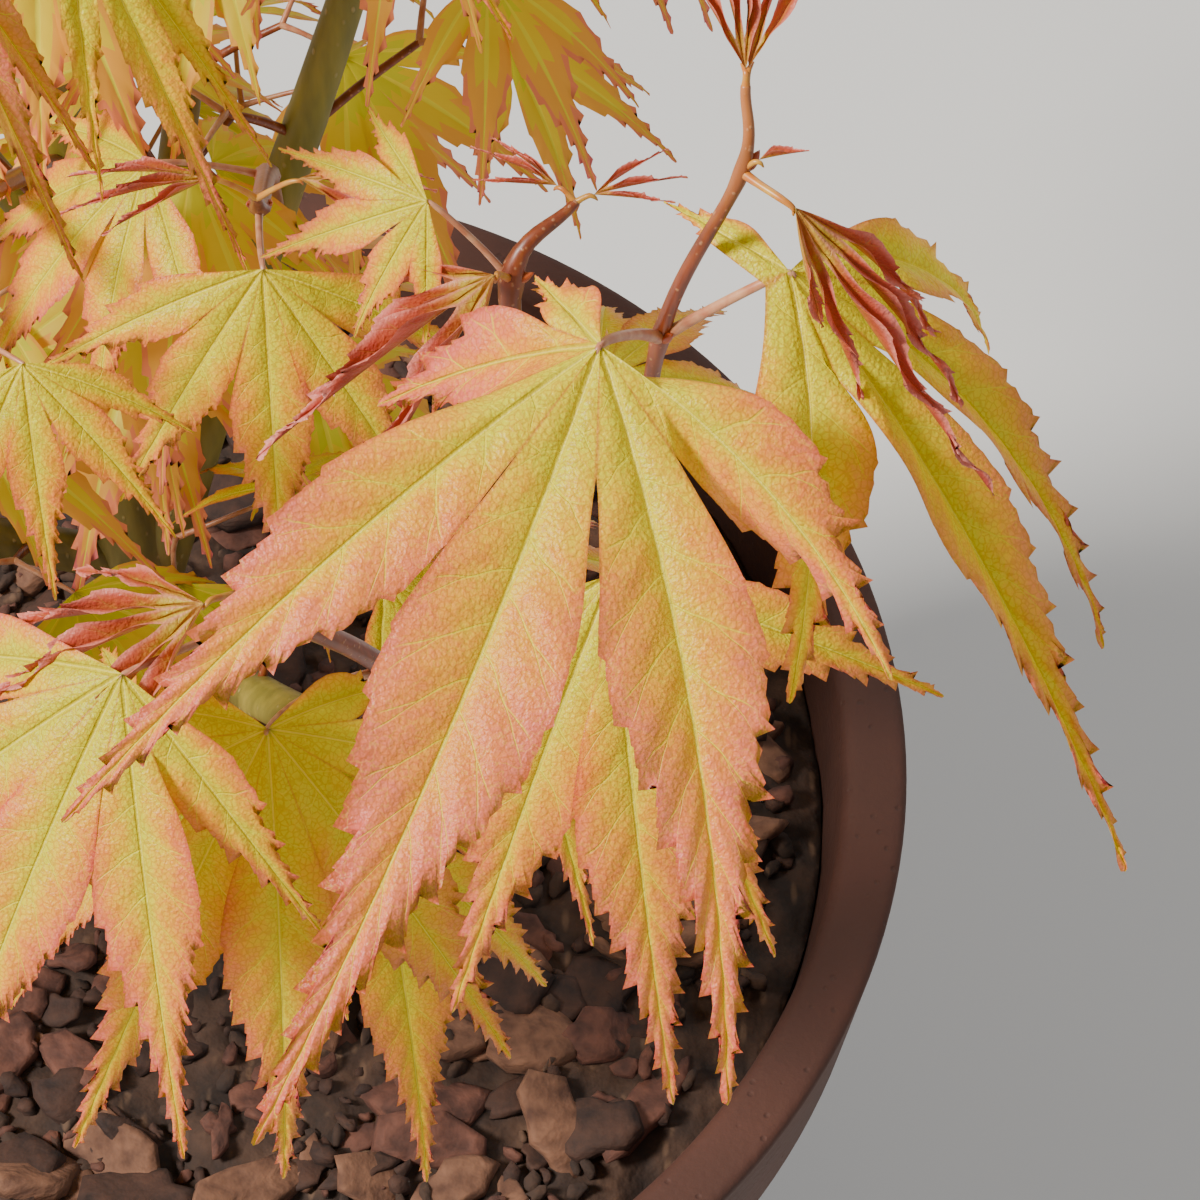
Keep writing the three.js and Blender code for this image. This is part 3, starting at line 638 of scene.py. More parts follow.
def show(name, mesh, replaced):
    """A piece of the object, which rides on its body and takes the place of some solids."""
    piece = bpy.data.objects.new(name, mesh)
    bpy.context.scene.collection.objects.link(piece)
    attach(piece, "root")
    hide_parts(*replaced)


def each(value, count):
    """A value for every lobe of a leaf: a list has one for each, and anything else goes to all."""
    return value if isinstance(value, list) else [value] * count


def notch_between(leaf, before, after, fold):
    """The notch between two neighbouring lobes: halfway between their middle veins, and raised as the
    half blades rise from the veins, by 0.7 tan(fold) times half the distance between those."""
    radius = min(SINUS, 0.5 * before.reach, 0.5 * after.reach)
    spots = [lobe.at(np.array([radius / lobe.reach]))[0][0] for lobe in (before, after)]
    rise = 0.7 * math.tan(math.radians(min(fold, 50))) * np.linalg.norm(spots[0] - spots[1]) / 2
    return radius, (spots[0] + spots[1]) / 2 + rise * leaf["normal"]


class Rows:
    """The rows of a lobe's two half blades, as shares m of its middle vein: some up to the notches, some
    from there to the first tooth, and then a set for each tooth."""

    def __init__(self, lobe, notches, detail, scale):
        self.root = 0.8 * min((notch[0] / lobe.reach for notch in notches if notch), default=SINUS)
        self.clear = max(self.root + 0.08, 0.24)
        self.spacing = detail["spacing"] * scale**0.5
        self.teeth = max(TEETH["fewest"], round(lobe.length * (1 - self.clear) / self.spacing))
        self.tooth = np.array(detail["tooth"])
        seam_rows, bare_rows = detail["rows"]
        self.first = seam_rows + bare_rows
        seam = self.root * np.arange(seam_rows) / seam_rows
        bare = self.root + (self.clear - self.root) * np.arange(bare_rows) / bare_rows
        step = (1 - self.clear) / self.teeth
        toothed = (self.clear + step * (np.arange(self.teeth)[:, None] + self.tooth[:, 0])).ravel()
        self.shares = np.concatenate([seam, bare, toothed, TIP])

    def cut_teeth(self, lobe, sign, scale, chance):
        """How far the edge moves outwards and forwards at each row. Each tooth has a size of its own. They
        start small, fade out at the tip, and on the left lie half a tooth further on."""
        tooth = np.roll(self.tooth, len(self.tooth) // 2 if sign > 0 else 0, axis=0)
        sizes = np.array([chance.between(*TEETH["size"]) for _ in range(self.teeth)])
        sizes[int(chance.between(0, TEETH["every"]))::TEETH["every"]] *= TEETH["larger"]
        depth = min(TEETH["depth"] * scale**0.8, TEETH["share"] * lobe.half)
        ahead = self.shares[self.first:-1]
        fade = (0.25 + 0.75 * smooth(0.3, 0.55, ahead)) * np.clip(2.4 * (1 - ahead), 0, 1) ** 0.6
        fade = fade * smooth(-0.03, 0.1, ahead - self.clear)
        out, on = np.tile(tooth[:, 1:], (self.teeth, 1)).T
        outward, forward = np.zeros((2, len(self.shares)))
        outward[self.first:-1] = np.repeat(sizes, len(tooth)) * depth * fade * out
        forward[self.first:-1] = fade * self.spacing * on
        return outward, forward


def edge_reach(lobe, e, notch, start):
    """How far the edge lies from the middle vein: on the seam up to the notch, and beyond it the lobe's half
    width, narrowed near the notch so that it starts there."""
    width = lobe.width(e)
    if not notch:
        return width
    mid, _, side, _ = lobe.at(np.array([start]))
    lateral = abs(float((notch[1] - mid[0]) @ side[0]))
    free = float(lobe.width(np.array([start]))[0])
    narrowed = width - (free - lateral) * np.exp(-(e - start) / NOTCH_FADE["width"])
    return np.where(e < start, lateral * e / start, narrowed)


def onto_seam(leaf, rim, notch, e, start):
    """Steps from the edge's points to the seam, a straight line from the leaf's base to the notch. Beyond
    the notch the last step fades out."""
    seam = leaf["base"] + (notch[1] - leaf["base"]) * (e / start)[:, None]
    last = notch[1] - rim[np.argmax(e >= start)]
    fading = last * np.exp(-(e - start) / NOTCH_FADE["points"])[:, None]
    return np.where((e < start)[:, None], seam - rim, fading)


def half_blade(leaf, lobe, rows, notch, sign, fold, v, chance):
    """Points of a half blade on rows up the middle vein and places v across, from 0 on the vein to 1 on the
    edge. A point is mid(m + (e - m) v^1.2) + out * X(e) v, where m is the row's share on the vein and e its
    share on the edge, further on, as the side veins slant. To this are added the swelling between side
    veins, by sin^2 of the veins counted and 4 v (1 - v), the curl of the edge, by v^2, its ripple, by
    v^3, the groove of the middle vein, the teeth, by v^6, and near the leaf's base the step, by v^2, that
    closes the edge onto the seam it shares with the next lobe. The shares e, the places across in
    millimetres and the veins counted along are returned with the points."""
    habit = YOUNG_BLADE if leaf["young"] else GROWN_BLADE
    scale = leaf["length"] / FULL_SIZE
    m = rows.shares
    start = notch[0] / lobe.reach if notch else rows.root
    rate = np.clip((m - rows.root) / (1 - rows.root), 0, 1)
    slanted = start + (1 - start) * (rate + SLANT * rate * (1 - rate))
    e = np.where(m < rows.root, start * m / rows.root, slanted)
    outward, forward = rows.cut_teeth(lobe, sign, scale, chance)
    reach = edge_reach(lobe, e, notch, start)
    outward = np.maximum(outward, -TEETH["cut"] * reach)
    veins = m * lobe.length / (RIB * scale**0.5) + (0.5 if sign > 0 else 0)

    fold = math.radians(fold)
    mid, along, side, normal = lobe.at(m[:, None] + (e - m)[:, None] * v**1.2)
    out = sign * math.cos(fold) * side + math.sin(fold) * normal
    over = -sign * math.sin(fold) * side + math.cos(fold) * normal
    x = reach[:, None] * v
    between = np.sin(math.pi * (veins[:, None] + 0.14)) ** 2
    swell = RELIEF["swell"] * scale * between * 4 * v * (1 - v) * smooth(0, 0.2, e)[:, None]
    curl = -habit["curl"] * reach[:, None] * v**2
    wave = np.sin(2 * math.pi * (0.37 * veins[:, None] + chance.between(0, 1)))
    wave = habit["wave"] * scale * wave * v**3 * smooth(start, start + 0.2, e)[:, None]
    hollow = np.exp(-((x / (RELIEF["groove_width"] * scale)) ** 2))
    groove = -RELIEF["groove"] * scale * hollow * (1 - e[:, None])
    points = mid + out * x[..., None] + over * (swell + curl + wave)[..., None] + normal * groove[..., None]
    points = points + (out * outward[:, None, None] + along * forward[:, None, None]) * (v**6)[:, None]
    if notch:
        points = points + onto_seam(leaf, points[:, -1], notch, e, start)[:, None] * (v**2)[:, None]
    points[-1] = lobe.at(TIP)[0][0]
    return points, e, x, veins


def redness(lobe, e, v, notch, blush):
    """Redness of a half blade: blush[0] + blush[1] r^1.1 + blush[2] v^1.6, where r is the distance from the
    leaf's base in shares of its length. The last part starts at the notch."""
    start, end = (notch[0] / lobe.reach, notch[0] / lobe.reach + 0.18) if notch else (0, 0.2)
    edge = v**1.6 * smooth(start, end, e)[:, None]
    return blush[0] + blush[1] * np.clip(e[:, None] * lobe.reach, 0, 1) ** 1.1 + blush[2] * edge


def tint_slots(red, v, young):
    """A tint for each cell by its redness, and the vein's own tint along a grown lobe's middle."""
    count = len(GROWN)
    tone = (red[:-1, :-1] + red[1:, 1:]) / 2
    slot = np.clip((tone * count).astype(int), 0, count - 1)
    if young:
        return slot + count
    return np.where((v[:-1] < 0.05)[None, :], 2 * count, slot)


def blade(sheets, leaf, detail, chance, bake_cell):
    """A leaf, lobe by lobe, each as two half blades that meet on its middle vein. Each corner keeps the
    veins counted along and the place across, the redness and the distance from the middle vein in widths
    of that vein, and a place of its own in the leaf's cell of the bake layout."""
    looks, young = leaf["looks"], leaf["young"]
    habit = YOUNG_BLADE if young else GROWN_BLADE
    scale = leaf["length"] / FULL_SIZE
    count = len(leaf["lobes"])
    folds = each(looks.get("fold", habit["fold"]), count)
    folds = [pair if isinstance(pair, tuple) else (pair, pair) for pair in folds]
    widens = each(looks.get("widen", habit["widen"]), count)
    warm = each(looks.get("warm", 0), count)
    blush = looks.get("blush", habit["blush"] if young else detail["blush"])
    mood = chance.between(-MOOD, MOOD)
    lobes = [Lobe(leaf, lobe, widen) for lobe, widen in zip(leaf["lobes"], widens)]
    notches = [None] * (count + 1)
    for j in range(1, count):
        fold = max(0, min(folds[j - 1][1], folds[j][0]))
        notches[j] = notch_between(leaf, lobes[j - 1], lobes[j], fold)
    v = np.array(detail["across"])
    for j, lobe in enumerate(lobes):
        rows = Rows(lobe, notches[j:j + 2], detail, scale)
        for sign, notch, fold in zip((-1, 1), notches[j:j + 2], folds[j]):
            points, e, x, veins = half_blade(leaf, lobe, rows, notch, sign, fold, v, chance)
            red = redness(lobe, e, v, notch, (blush[0] + warm[j] + mood, *blush[1:]))
            vein_width = (0.28 * scale**0.5) * (1 - 0.8 * e)[:, None] + 0.02
            cell_u = bake_cell[0] + bake_cell[2] * (j + 0.5 + 0.47 * sign * v) / count
            cell_v = bake_cell[1] + bake_cell[3] * (0.02 + 0.96 * rows.shares)
            values = np.stack(np.broadcast_arrays(
                veins[:, None] / VEIN_COUNT, sign * v, np.clip(red, 0, 1),
                np.clip(x / vein_width / VEIN_REACH, 0, 1), cell_u, cell_v[:, None]), -1)
            slot = tint_slots(red, v, young) if "tints" in detail else int(young)
            sheets.add(points, values, slot, flip=sign > 0)


# Stems, stalks and buds

STEM = dict(radius=1.15, taper=0.4, tip=0.42, flare=0.35, flare_reach=1.6)
FRONT_STEM_RADII = [0.9, 0.8, 0.6, 0.46, 0.38]
STALK = dict(least=0.22, more=0.2, radii=[1.3, 1, 0.92, 0.7, 0.3], under=0.35, inside=0.8)
BUD = dict(length=2.0, radius=0.55, out=0.35, lean=0.5)


def circle(count):
    """Even angles once round."""
    return 2 * math.pi * np.arange(count) / count


def run_of(points, radii, steps):
    """Centres, headings and radii along the smooth curve through some points, in even steps. The radius
    runs evenly between those given at the points."""
    shares = np.linspace(0, 1, (len(points) - 1) * steps + 1)
    centre = spline(points, shares)
    radius = np.interp(shares * (len(points) - 1), np.arange(len(radii)), radii)
    return centre, unit(np.gradient(centre, axis=0)), radius


def rings(centre, along, guide, radius, count):
    """Rings of points about a run of centres: centre + radius (side cos a + over sin a), where the side is
    square to the heading and as near the guide as it can be."""
    side = unit(guide - along * (along @ guide)[:, None])
    over = np.cross(along, side)
    turn = circle(count)[:, None]
    return centre[:, None] + (np.cos(turn) * side[:, None] + np.sin(turn) * over[:, None]) * radius[..., None]


def axis_across(way):
    """The axis X, Y or Z that a direction lies furthest from."""
    return np.eye(3)[np.argmin(np.abs(way))]


def tube(sheets, points, radii, sides, steps, slot=0, flare=0.0):
    """A round tapering tube along the smooth curve through some points, swollen by the flare at each point
    between its ends. Both ends close in a low dome: rings of radius r sqrt(1 - h^2), 0.8 r h beyond the
    end."""
    points = np.asarray(points, float)
    centre, along, radius = run_of(points, radii, steps)
    for node in points[1:-1]:
        gap = np.linalg.norm(centre - node, axis=1)
        radius = radius * (1 + flare * np.exp(-((gap / STEM["flare_reach"]) ** 2)))
    high = np.array([1.0, 0.4])
    dome = np.sqrt(1 - high**2)
    rise = 0.8 * high[:, None]
    centre = np.vstack([centre[0] - along[0] * radius[0] * rise, centre,
                        centre[-1] + along[-1] * radius[-1] * rise[::-1]])
    along = np.vstack([along[:1]] * 2 + [along] + [along[-1:]] * 2)
    radius = np.concatenate([radius[0] * dome, radius, radius[-1] * dome[::-1]])
    guide = axis_across(points[-1] - points[0])
    sheets.add(rings(centre, along, guide, radius[:, None], sides), slot=slot, wrap=True)


def petiole(leaf, chance):
    """Points of a leaf's stalk: out from the stem, arched a little upwards, and under the leaf's base into
    its blade."""
    node, base = leaf["node"], leaf["base"]
    chord = base - node
    size = np.linalg.norm(chord)
    middle = leaf["lobes"][len(leaf["lobes"]) // 2]
    inner = Lobe(leaf, middle).at(np.array([0.02]))[0][0] - STALK["inside"] * leaf["normal"]
    lift = UP * size * 0.04 + np.cross(unit(chord), UP) * size * chance.between(-0.04, 0.04)
    under = base - STALK["under"] * leaf["normal"]
    return [node, node + chord * 0.35 + lift, node + chord * 0.75 + lift * 0.9, under, inner]


def bud(sheets, spot, axis, slot):
    """A scaly pointed bud: rings of radius r sin(pi s)^0.8 (1 - 0.45 s) along its axis."""
    s = np.linspace(0, 1, 9)
    radius = BUD["radius"] * np.clip(np.sin(math.pi * s), 0, 1) ** 0.8 * (1 - 0.45 * s)
    centre = spot + axis * (s * BUD["length"])[:, None]
    along = np.broadcast_to(axis, centre.shape)
    sheets.add(rings(centre, along, axis_across(axis), radius[:, None], 8), slot=slot, wrap=True)


# Materials


def linear(colour):
    """Linear values of a colour given as 0 to 255 on a screen."""
    c = np.array(colour) / 255
    return (*np.where(c <= 0.04045, c / 12.92, ((c + 0.055) / 1.055) ** 2.4), 1.0)


class Wire:
    """A number or colour in a material. Sums of wires and numbers add their Math nodes."""

    def __init__(self, paint, socket):
        self.paint, self.socket = paint, socket

    def math(self, operation, first, second=0.0):
        return self.paint.node("ShaderNodeMath", dict(operation=operation), {0: first, 1: second}).out()

    def __add__(self, other):
        return self.math("ADD", self, other)

    __radd__ = __add__

    def __mul__(self, other):
        return self.math("MULTIPLY", self, other)

    __rmul__ = __mul__

    def __sub__(self, other):
        return self.math("SUBTRACT", self, other)

    def __rsub__(self, other):
        return self.math("SUBTRACT", other, self)

    def __abs__(self):
        return self.math("ABSOLUTE", self)

    def fraction(self):
        return self.math("FRACT", self)

    def step(self, low, high):
        """0 below low and 1 above high, smoothly between them."""
        sockets = {"Value": self, "From Min": low, "From Max": high}
        return self.paint.node("ShaderNodeMapRange", dict(interpolation_type="SMOOTHSTEP"), sockets).out()


class Made:
    """A node just made, and its outputs."""

    def __init__(self, paint, node):
        self.paint, self.node = paint, node

    def out(self, name=0):
        return Wire(self.paint, self.node.outputs[name])


class Paint:
    """A material under construction. Its colours are wires, or given as 0 to 255 on a screen."""

    def __init__(self, name):
        self.material = bpy.data.materials.new(name)
        self.material.use_nodes = True
        self.tree = self.material.node_tree
        self.tree.nodes.clear()

    def node(self, kind, settings=None, sockets=None):
        """A node with its settings made first, then the values or links of its sockets."""
        node = self.tree.nodes.new(kind)
        for key, value in (settings or {}).items():
            if key == "stops":
                elements = node.color_ramp.elements
                for place, colour in value[1:-1]:
                    elements.new(place).color = colour
                for element, (place, colour) in zip((elements[0], elements[-1]), (value[0], value[-1])):
                    element.position, element.color = place, colour
            else:
                setattr(node, key, value)
        for key, value in (sockets or {}).items():
            if isinstance(value, Wire):
                self.tree.links.new(value.socket, node.inputs[key])
            else:
                node.inputs[key].default_value = value
        return Made(self, node)

    def ramp(self, value, *stops):
        stops = [(place, linear(colour)) for place, colour in stops]
        return self.node("ShaderNodeValToRGB", dict(stops=stops), {0: value}).out()

    def mix(self, share, first, second, blend="MIX"):
        second = second if isinstance(second, Wire) else linear(second)
        settings = dict(data_type="RGBA", blend_type=blend)
        return self.node("ShaderNodeMix", settings, {0: share, 6: first, 7: second}).out(2)

    def place(self, stretch=None):
        """The place on the piece, in metres, times a factor for each axis."""
        place = self.node("ShaderNodeTexCoord").out("Object")
        if stretch:
            factors = {0: place, 1: stretch}
            place = self.node("ShaderNodeVectorMath", dict(operation="MULTIPLY"), factors).out()
        return place

    def height(self):
        return self.node("ShaderNodeSeparateXYZ", {}, {0: self.place()}).out(2)

    def noise(self, scale, detail=3.0, stretch=None):
        sockets = {"Vector": self.place(stretch), "Scale": scale, "Detail": detail}
        return self.node("ShaderNodeTexNoise", {}, sockets).out()

    def cells(self, scale, feature="F1", stretch=None):
        sockets = {"Vector": self.place(stretch), "Scale": scale}
        return self.node("ShaderNodeTexVoronoi", dict(feature=feature), sockets).out()

    def layer(self, name):
        """The two numbers of a UV map."""
        uv = self.node("ShaderNodeUVMap", dict(uv_map=name)).out()
        split = self.node("ShaderNodeSeparateXYZ", {}, {0: uv})
        return split.out(0), split.out(1)

    def finish(self, colour, height=None, strength=0.3, distance=0.0005, glow=None, **shader):
        """Principled shader with this colour and relief. Glow is the colour of the light that comes through
        a thin leaf."""
        sockets = {"Base Color": colour if isinstance(colour, Wire) else linear(colour)}
        for key, value in shader.items():
            sockets[key.replace("_", " ").title().replace("Ior", "IOR")] = value
        if height is not None:
            relief = {"Strength": strength, "Distance": distance, "Height": height}
            sockets["Normal"] = self.node("ShaderNodeBump", {}, relief).out()
        surface = self.node("ShaderNodeBsdfPrincipled", {}, sockets).out()
        if glow:
            through = self.node("ShaderNodeBsdfTranslucent", {}, {"Color": linear(glow)}).out()
            surface = self.node("ShaderNodeMixShader", {}, {0: THROUGH, 1: surface, 2: through}).out()
        self.node("ShaderNodeOutputMaterial", {}, {"Surface": surface})
        return self.material


# Leaf colours on a screen, from the yellow green round the veins to the red of the edges
GROWN = [(208, 206, 12), (230, 200, 18), (240, 164, 42), (238, 124, 76), (228, 100, 100), (186, 52, 60)]
FRESH = [(200, 178, 52), (192, 116, 52), (184, 88, 54), (186, 80, 62), (200, 90, 80), (236, 152, 136)]
VEIN = (232, 220, 36)
VEIN_CORE = (226, 214, 130)
NET = (210, 158, 140)
THROUGH = 0.3  # share of the light that comes through a leaf


def leaf_paint(name, colours, vein_colour, netted, edge, glow):
    """A leaf seen close: its blush runs from the veins to the edge, and is less beside them. The side veins
    fork halfway, a fine net lies between them, and the edge has a rim of the last colour. The middle vein has
    a pale core, and its flanks, where it lies in its groove, carry painted shade."""
    p = Paint(name)
    count, across = p.layer("Blade")
    blush, vein = p.layer("Blush")
    widths = vein * VEIN_REACH
    near = abs((count * VEIN_COUNT + 0.47 + p.noise(230, 1.0) * 0.34).fraction() - 0.5)
    away = abs(across)
    fork = abs(near - (away - 0.48) * 0.42)
    halfway = away.step(0.46, 0.54)
    side = (1 - near.step(0.01, 0.03)) * (1 - halfway)
    side = side + (1 - fork.step(0.007, 0.025)) * halfway * (1 - away.step(0.72, 0.95)) * 0.8
    middle = 1 - widths.step(0.7, 1.35)
    core = 1 - widths.step(0.12, 0.36)
    # Painted shade: the band along the middle vein's flanks, where the vein lies in its groove
    groove = widths.step(0.3, 0.5) * (1 - widths.step(0.62, 0.9))
    beside = (1 - vein.step(0.1, 0.95)) * 0.2 + (1 - near.step(0.02, 0.26)) * (1 - away.step(0.4, 0.9)) * 0.12
    patch = p.noise(150, 3.0) - 0.5
    mottle = p.noise(760, 2.0) - 0.5
    speck = p.noise(3000, 1.0) - 0.5
    net = (1 - p.cells(1900, "DISTANCE_TO_EDGE").step(0.03, 0.17)) * netted
    branches = (1 - abs(mottle).step(0.004, 0.02)) * netted
    tone = blush - beside * (1 - blush) + patch * 0.44 + mottle * 0.34 + speck * 0.2
    colour = p.ramp(tone, *zip(np.linspace(0, 1, len(colours)), colours))
    colour = p.mix(away.step(*edge) * 0.6, colour, colours[-1])
    colour = p.mix(net * 0.5, colour, NET, "MULTIPLY")
    colour = p.mix(branches * 0.2 + side * 0.66, colour, vein_colour)
    colour = p.mix(middle * (1 - blush * 0.45) * 0.85, colour, vein_colour)
    # Painted shade in the middle vein's groove: its flanks darkened to 0.62 of the vein's colour
    colour = p.mix(groove * 0.45, colour, [0.62 * part for part in vein_colour])
    colour = p.mix(core * 0.4, colour, VEIN_CORE)
    height = middle * 0.9 + side * 0.45 + speck * 0.95 + mottle * 0.5
    return p.finish(colour, height, 0.5, 0.0003, glow, roughness=0.4, specular_ior_level=0.24)


def plain_leaf(name, colour):
    """One tint of the leaves that stand further off, dealt out by its place in the leaf."""
    return Paint(name).finish(colour, glow=colour, roughness=0.5, specular_ior_level=0.22)


def paler(colour):
    """A tint as the grown leaves have it further off."""
    return [0.87 * part + 26 for part in colour]


def twig_paint():
    """Green twig flushed red, greener towards the tips of the front shoot, with fine pale specks."""
    p = Paint("young_twig")
    speck = 1 - p.cells(1500).step(0.12, 0.3)
    streak = p.noise(900, 2.0, (1, 1, 0.25))
    colour = p.ramp(streak, (0.3, (98, 42, 22)), (0.55, (126, 58, 28)), (0.8, (140, 80, 34)))
    colour = p.mix(p.height().step(0.386, 0.402) * 0.65, colour, (190, 118, 56))
    colour = p.mix(speck * 0.35, colour, (206, 156, 110))
    height = speck * 0.6 + streak * 0.4
    return p.finish(colour, height, 0.3, 0.0002, roughness=0.42, coat_weight=0.12, coat_roughness=0.35)


def stalk_paint(name, colour, pale):
    """A smooth stalk with faint streaks."""
    p = Paint(name)
    streaks = p.ramp(p.noise(700, 2.0), (0.35, colour), (0.7, pale))
    return p.finish(streaks, roughness=0.4, coat_weight=0.1, coat_roughness=0.35)


def bark_paint():
    """Smooth young bark: olive green above, browner and cracked at the foot, with pale pores."""
    p = Paint("young_bark")
    grain = p.noise(420, 4.0, (1, 1, 0.16))
    blotch = p.noise(60, 3.0)
    pore = 1 - p.cells(640, stretch=(1, 1, 0.5)).step(0.08, 0.2)
    green = p.ramp(grain, (0.3, (96, 92, 24)), (0.7, (140, 130, 42)))
    brown = p.ramp(grain, (0.3, (66, 48, 32)), (0.7, (124, 100, 70)))
    old = 1 - (p.height() + blotch * 0.05).step(0.185, 0.275)
    colour = p.mix(old, green, brown)
    colour = p.mix(blotch.step(0.5, 0.75) * 0.35, colour, (150, 96, 58))
    colour = p.mix(pore * 0.45, colour, (176, 156, 108))
    return p.finish(colour, grain * 0.7 + pore * 0.5, 0.45, 0.0005, roughness=0.55)


def clay_paint():
    """Brown fired clay: fine grain, faint rings, a few pits, and a pale bloom of salts low down."""
    p = Paint("brown_clay")
    grain = p.noise(900, 2.0)
    ring = p.noise(500, 2.0, (0.04, 0.04, 1))
    pit = 1 - p.cells(330).step(0.05, 0.16)
    colour = p.ramp(p.noise(22, 4.0), (0.32, (58, 30, 20)), (0.68, (82, 44, 30)))
    bloom = p.noise(55, 4.0).step(0.52, 0.72) * (1 - (p.height() * 10).step(0.1, 1.5)) * 0.36
    colour = p.mix(bloom + p.noise(40, 3.0).step(0.6, 0.8) * 0.12, colour, (140, 112, 92))
    colour = p.mix(pit * 0.35, colour, (60, 34, 24))
    return p.finish(colour, grain * 0.5 + ring * 0.6 - pit * 0.8, 0.4, 0.0006, roughness=0.78)


def compost_paint():
    """Damp compost: dark crumbs and paler fibres."""
    p = Paint("damp_compost")
    lump = p.noise(160, 4.0)
    fibre = 1 - p.cells(420, stretch=(1, 0.3, 1)).step(0.1, 0.28)
    colour = p.ramp(lump, (0.35, (34, 22, 16)), (0.62, (66, 45, 33)), (0.8, (96, 70, 52)))
    colour = p.mix(fibre * 0.4, colour, (120, 92, 70))
    return p.finish(colour, lump, 0.8, 0.002, roughness=0.9)


def chip_paint(name, dark, pale):
    """A bark chip: layers of cork."""
    p = Paint(name)
    layer = p.noise(330, 3.0, (1, 1, 2.5))
    return p.finish(p.ramp(layer, (0.3, dark), (0.7, pale)), layer, 0.6, 0.001, roughness=0.85)


close_paints = [
    leaf_paint("leaf_blade", GROWN, VEIN, 1.0, (0.9, 1.0), GROWN[1]),
    leaf_paint("young_leaf_blade", FRESH, (194, 136, 58), 0.4, (0.66, 1.0), FRESH[3]),
]
tint_paints = [plain_leaf(f"leaf_tint_{k}", paler(colour)) for k, colour in enumerate(GROWN)]
tint_paints += [plain_leaf(f"young_leaf_tint_{k}", colour) for k, colour in enumerate(FRESH)]
tint_paints.append(plain_leaf("leaf_vein", paler(VEIN)))
twig_paints = [
    twig_paint(),
    stalk_paint("leaf_stalk", (168, 102, 72), (192, 144, 108)),
    stalk_paint("green_tip", (186, 104, 34), (198, 146, 48)),
    stalk_paint("bud_scale", (150, 54, 22), (184, 88, 34)),
]
TWIG, STALK_PINK, STALK_GREEN, BUD_RED = range(4)
LEAF_LAYERS = [("Blade", [0, 1]), ("Blush", [2, 3]), ("OFBake", [4, 5])]

# The shoots: the leaves of each are one piece, and its twigs, stalks and buds another

LEAF_SEED = 1000


def leaf_piece(name, leaves, detail, chance):
    """All leaves of a shoot. Each has a square cell of its own in the bake layout."""
    sheets = Sheets()
    columns = math.ceil(math.sqrt(len(leaves)))
    room = 0.96 / columns
    for k, leaf in enumerate(leaves):
        cell = (k % columns / columns, k // columns / columns, room, room)
        small = detail is PLAIN and leaf["length"] < SMALL_LEAF
        blade(sheets, leaf, SMALL if small else detail, chance, cell)
    return sheets.mesh(name, tint_paints if detail is PLAIN else close_paints, LEAF_LAYERS)


def twig_piece(name, stem, leaves, nearest, chance):
    """Stem, finer twigs, leaf stalks and buds of a shoot. The nearest shoot has more faces."""
    sheets = Sheets()
    top = len(stem) - 1
    radii = [STEM["radius"] - STEM["taper"] * k / top for k in range(top)] + [STEM["tip"]]
    sides, steps, stalk_sides, stalk_steps = (16, 14, 12, 6) if nearest else (10, 8, 8, 3)
    tube(sheets, stem, FRONT_STEM_RADII if nearest else radii, sides, steps, TWIG, STEM["flare"])
    for leaf in leaves:
        if leaf.get("twig"):
            radius = leaf["twig"]["radius"]
            tube(sheets, leaf["twig"]["points"], [radius, radius, 0.8 * radius], 7, 4, TWIG)
        thick = STALK["least"] + STALK["more"] * leaf["length"] / FULL_SIZE
        tube(sheets, petiole(leaf, chance), [thick * share for share in STALK["radii"]], stalk_sides,
             stalk_steps, STALK_GREEN if leaf["young"] else STALK_PINK)
    for node, after in zip(stem[1:], stem[2:]):
        run = unit(after - node)
        side = unit(np.cross(run, UP) + 1e-6)
        for sign in [1] if nearest else [-1, 1]:
            bud(sheets, node + side * sign * BUD["out"], unit(run + BUD["lean"] * sign * side), BUD_RED)
    return sheets.mesh(name, twig_paints)


for number, shoot in enumerate(SHOOTS):
    stem, leaves = grow(shoot)
    label = shoot["name"].replace("foliage_", "")
    chance = Chance(LEAF_SEED + number)
    nearest = shoot["name"] == "foliage_front"
    detail = FINE if nearest else (MIDDLE if "stem" in shoot else PLAIN)
    leaf_mesh = leaf_piece(f"{label}_leaves", leaves, detail, chance)
    show(f"{label}_leaves", leaf_mesh, [shoot["name"]])
    twig_mesh = twig_piece(f"{label}_twigs", stem, leaves, nearest, chance)
    show(f"{label}_twigs", twig_mesh, [shoot["name"]])

# Trunk and boughs, with the relief of their bark

BARK = dict(
    around=40,
    steps=46,
    inset=0.1,
    depth=0.05,
    deeper=0.018,
    furrows=14,
    scars=5,
    scar=0.9,
    scar_width=0.7,
    flutes=5,
    flute=0.9,
    foot=7,
    seed=40,
)
BARK_GUIDE = np.array([0.31, 0.93, 0.2])  # the way in which each ring starts
bark = bark_paint()


def ridges(turn, run, seed):
    """Relief of bark, about one high: long shallow furrows, and rings of old bud scales."""
    draw = np.random.default_rng(seed)
    height = np.zeros(np.broadcast(turn, run).shape)
    for _ in range(BARK["furrows"]):
        around, lift = draw.integers(2, 9), draw.uniform(0.02, 0.2)
        height = height + np.sin(around * turn + lift * run + draw.uniform(0, 6.3)) / BARK["furrows"]
    for _ in range(BARK["scars"]):
        where = draw.uniform(0, run.max())
        height = height + BARK["scar"] * np.exp(-(((run - where) / BARK["scar_width"]) ** 2))
    return height


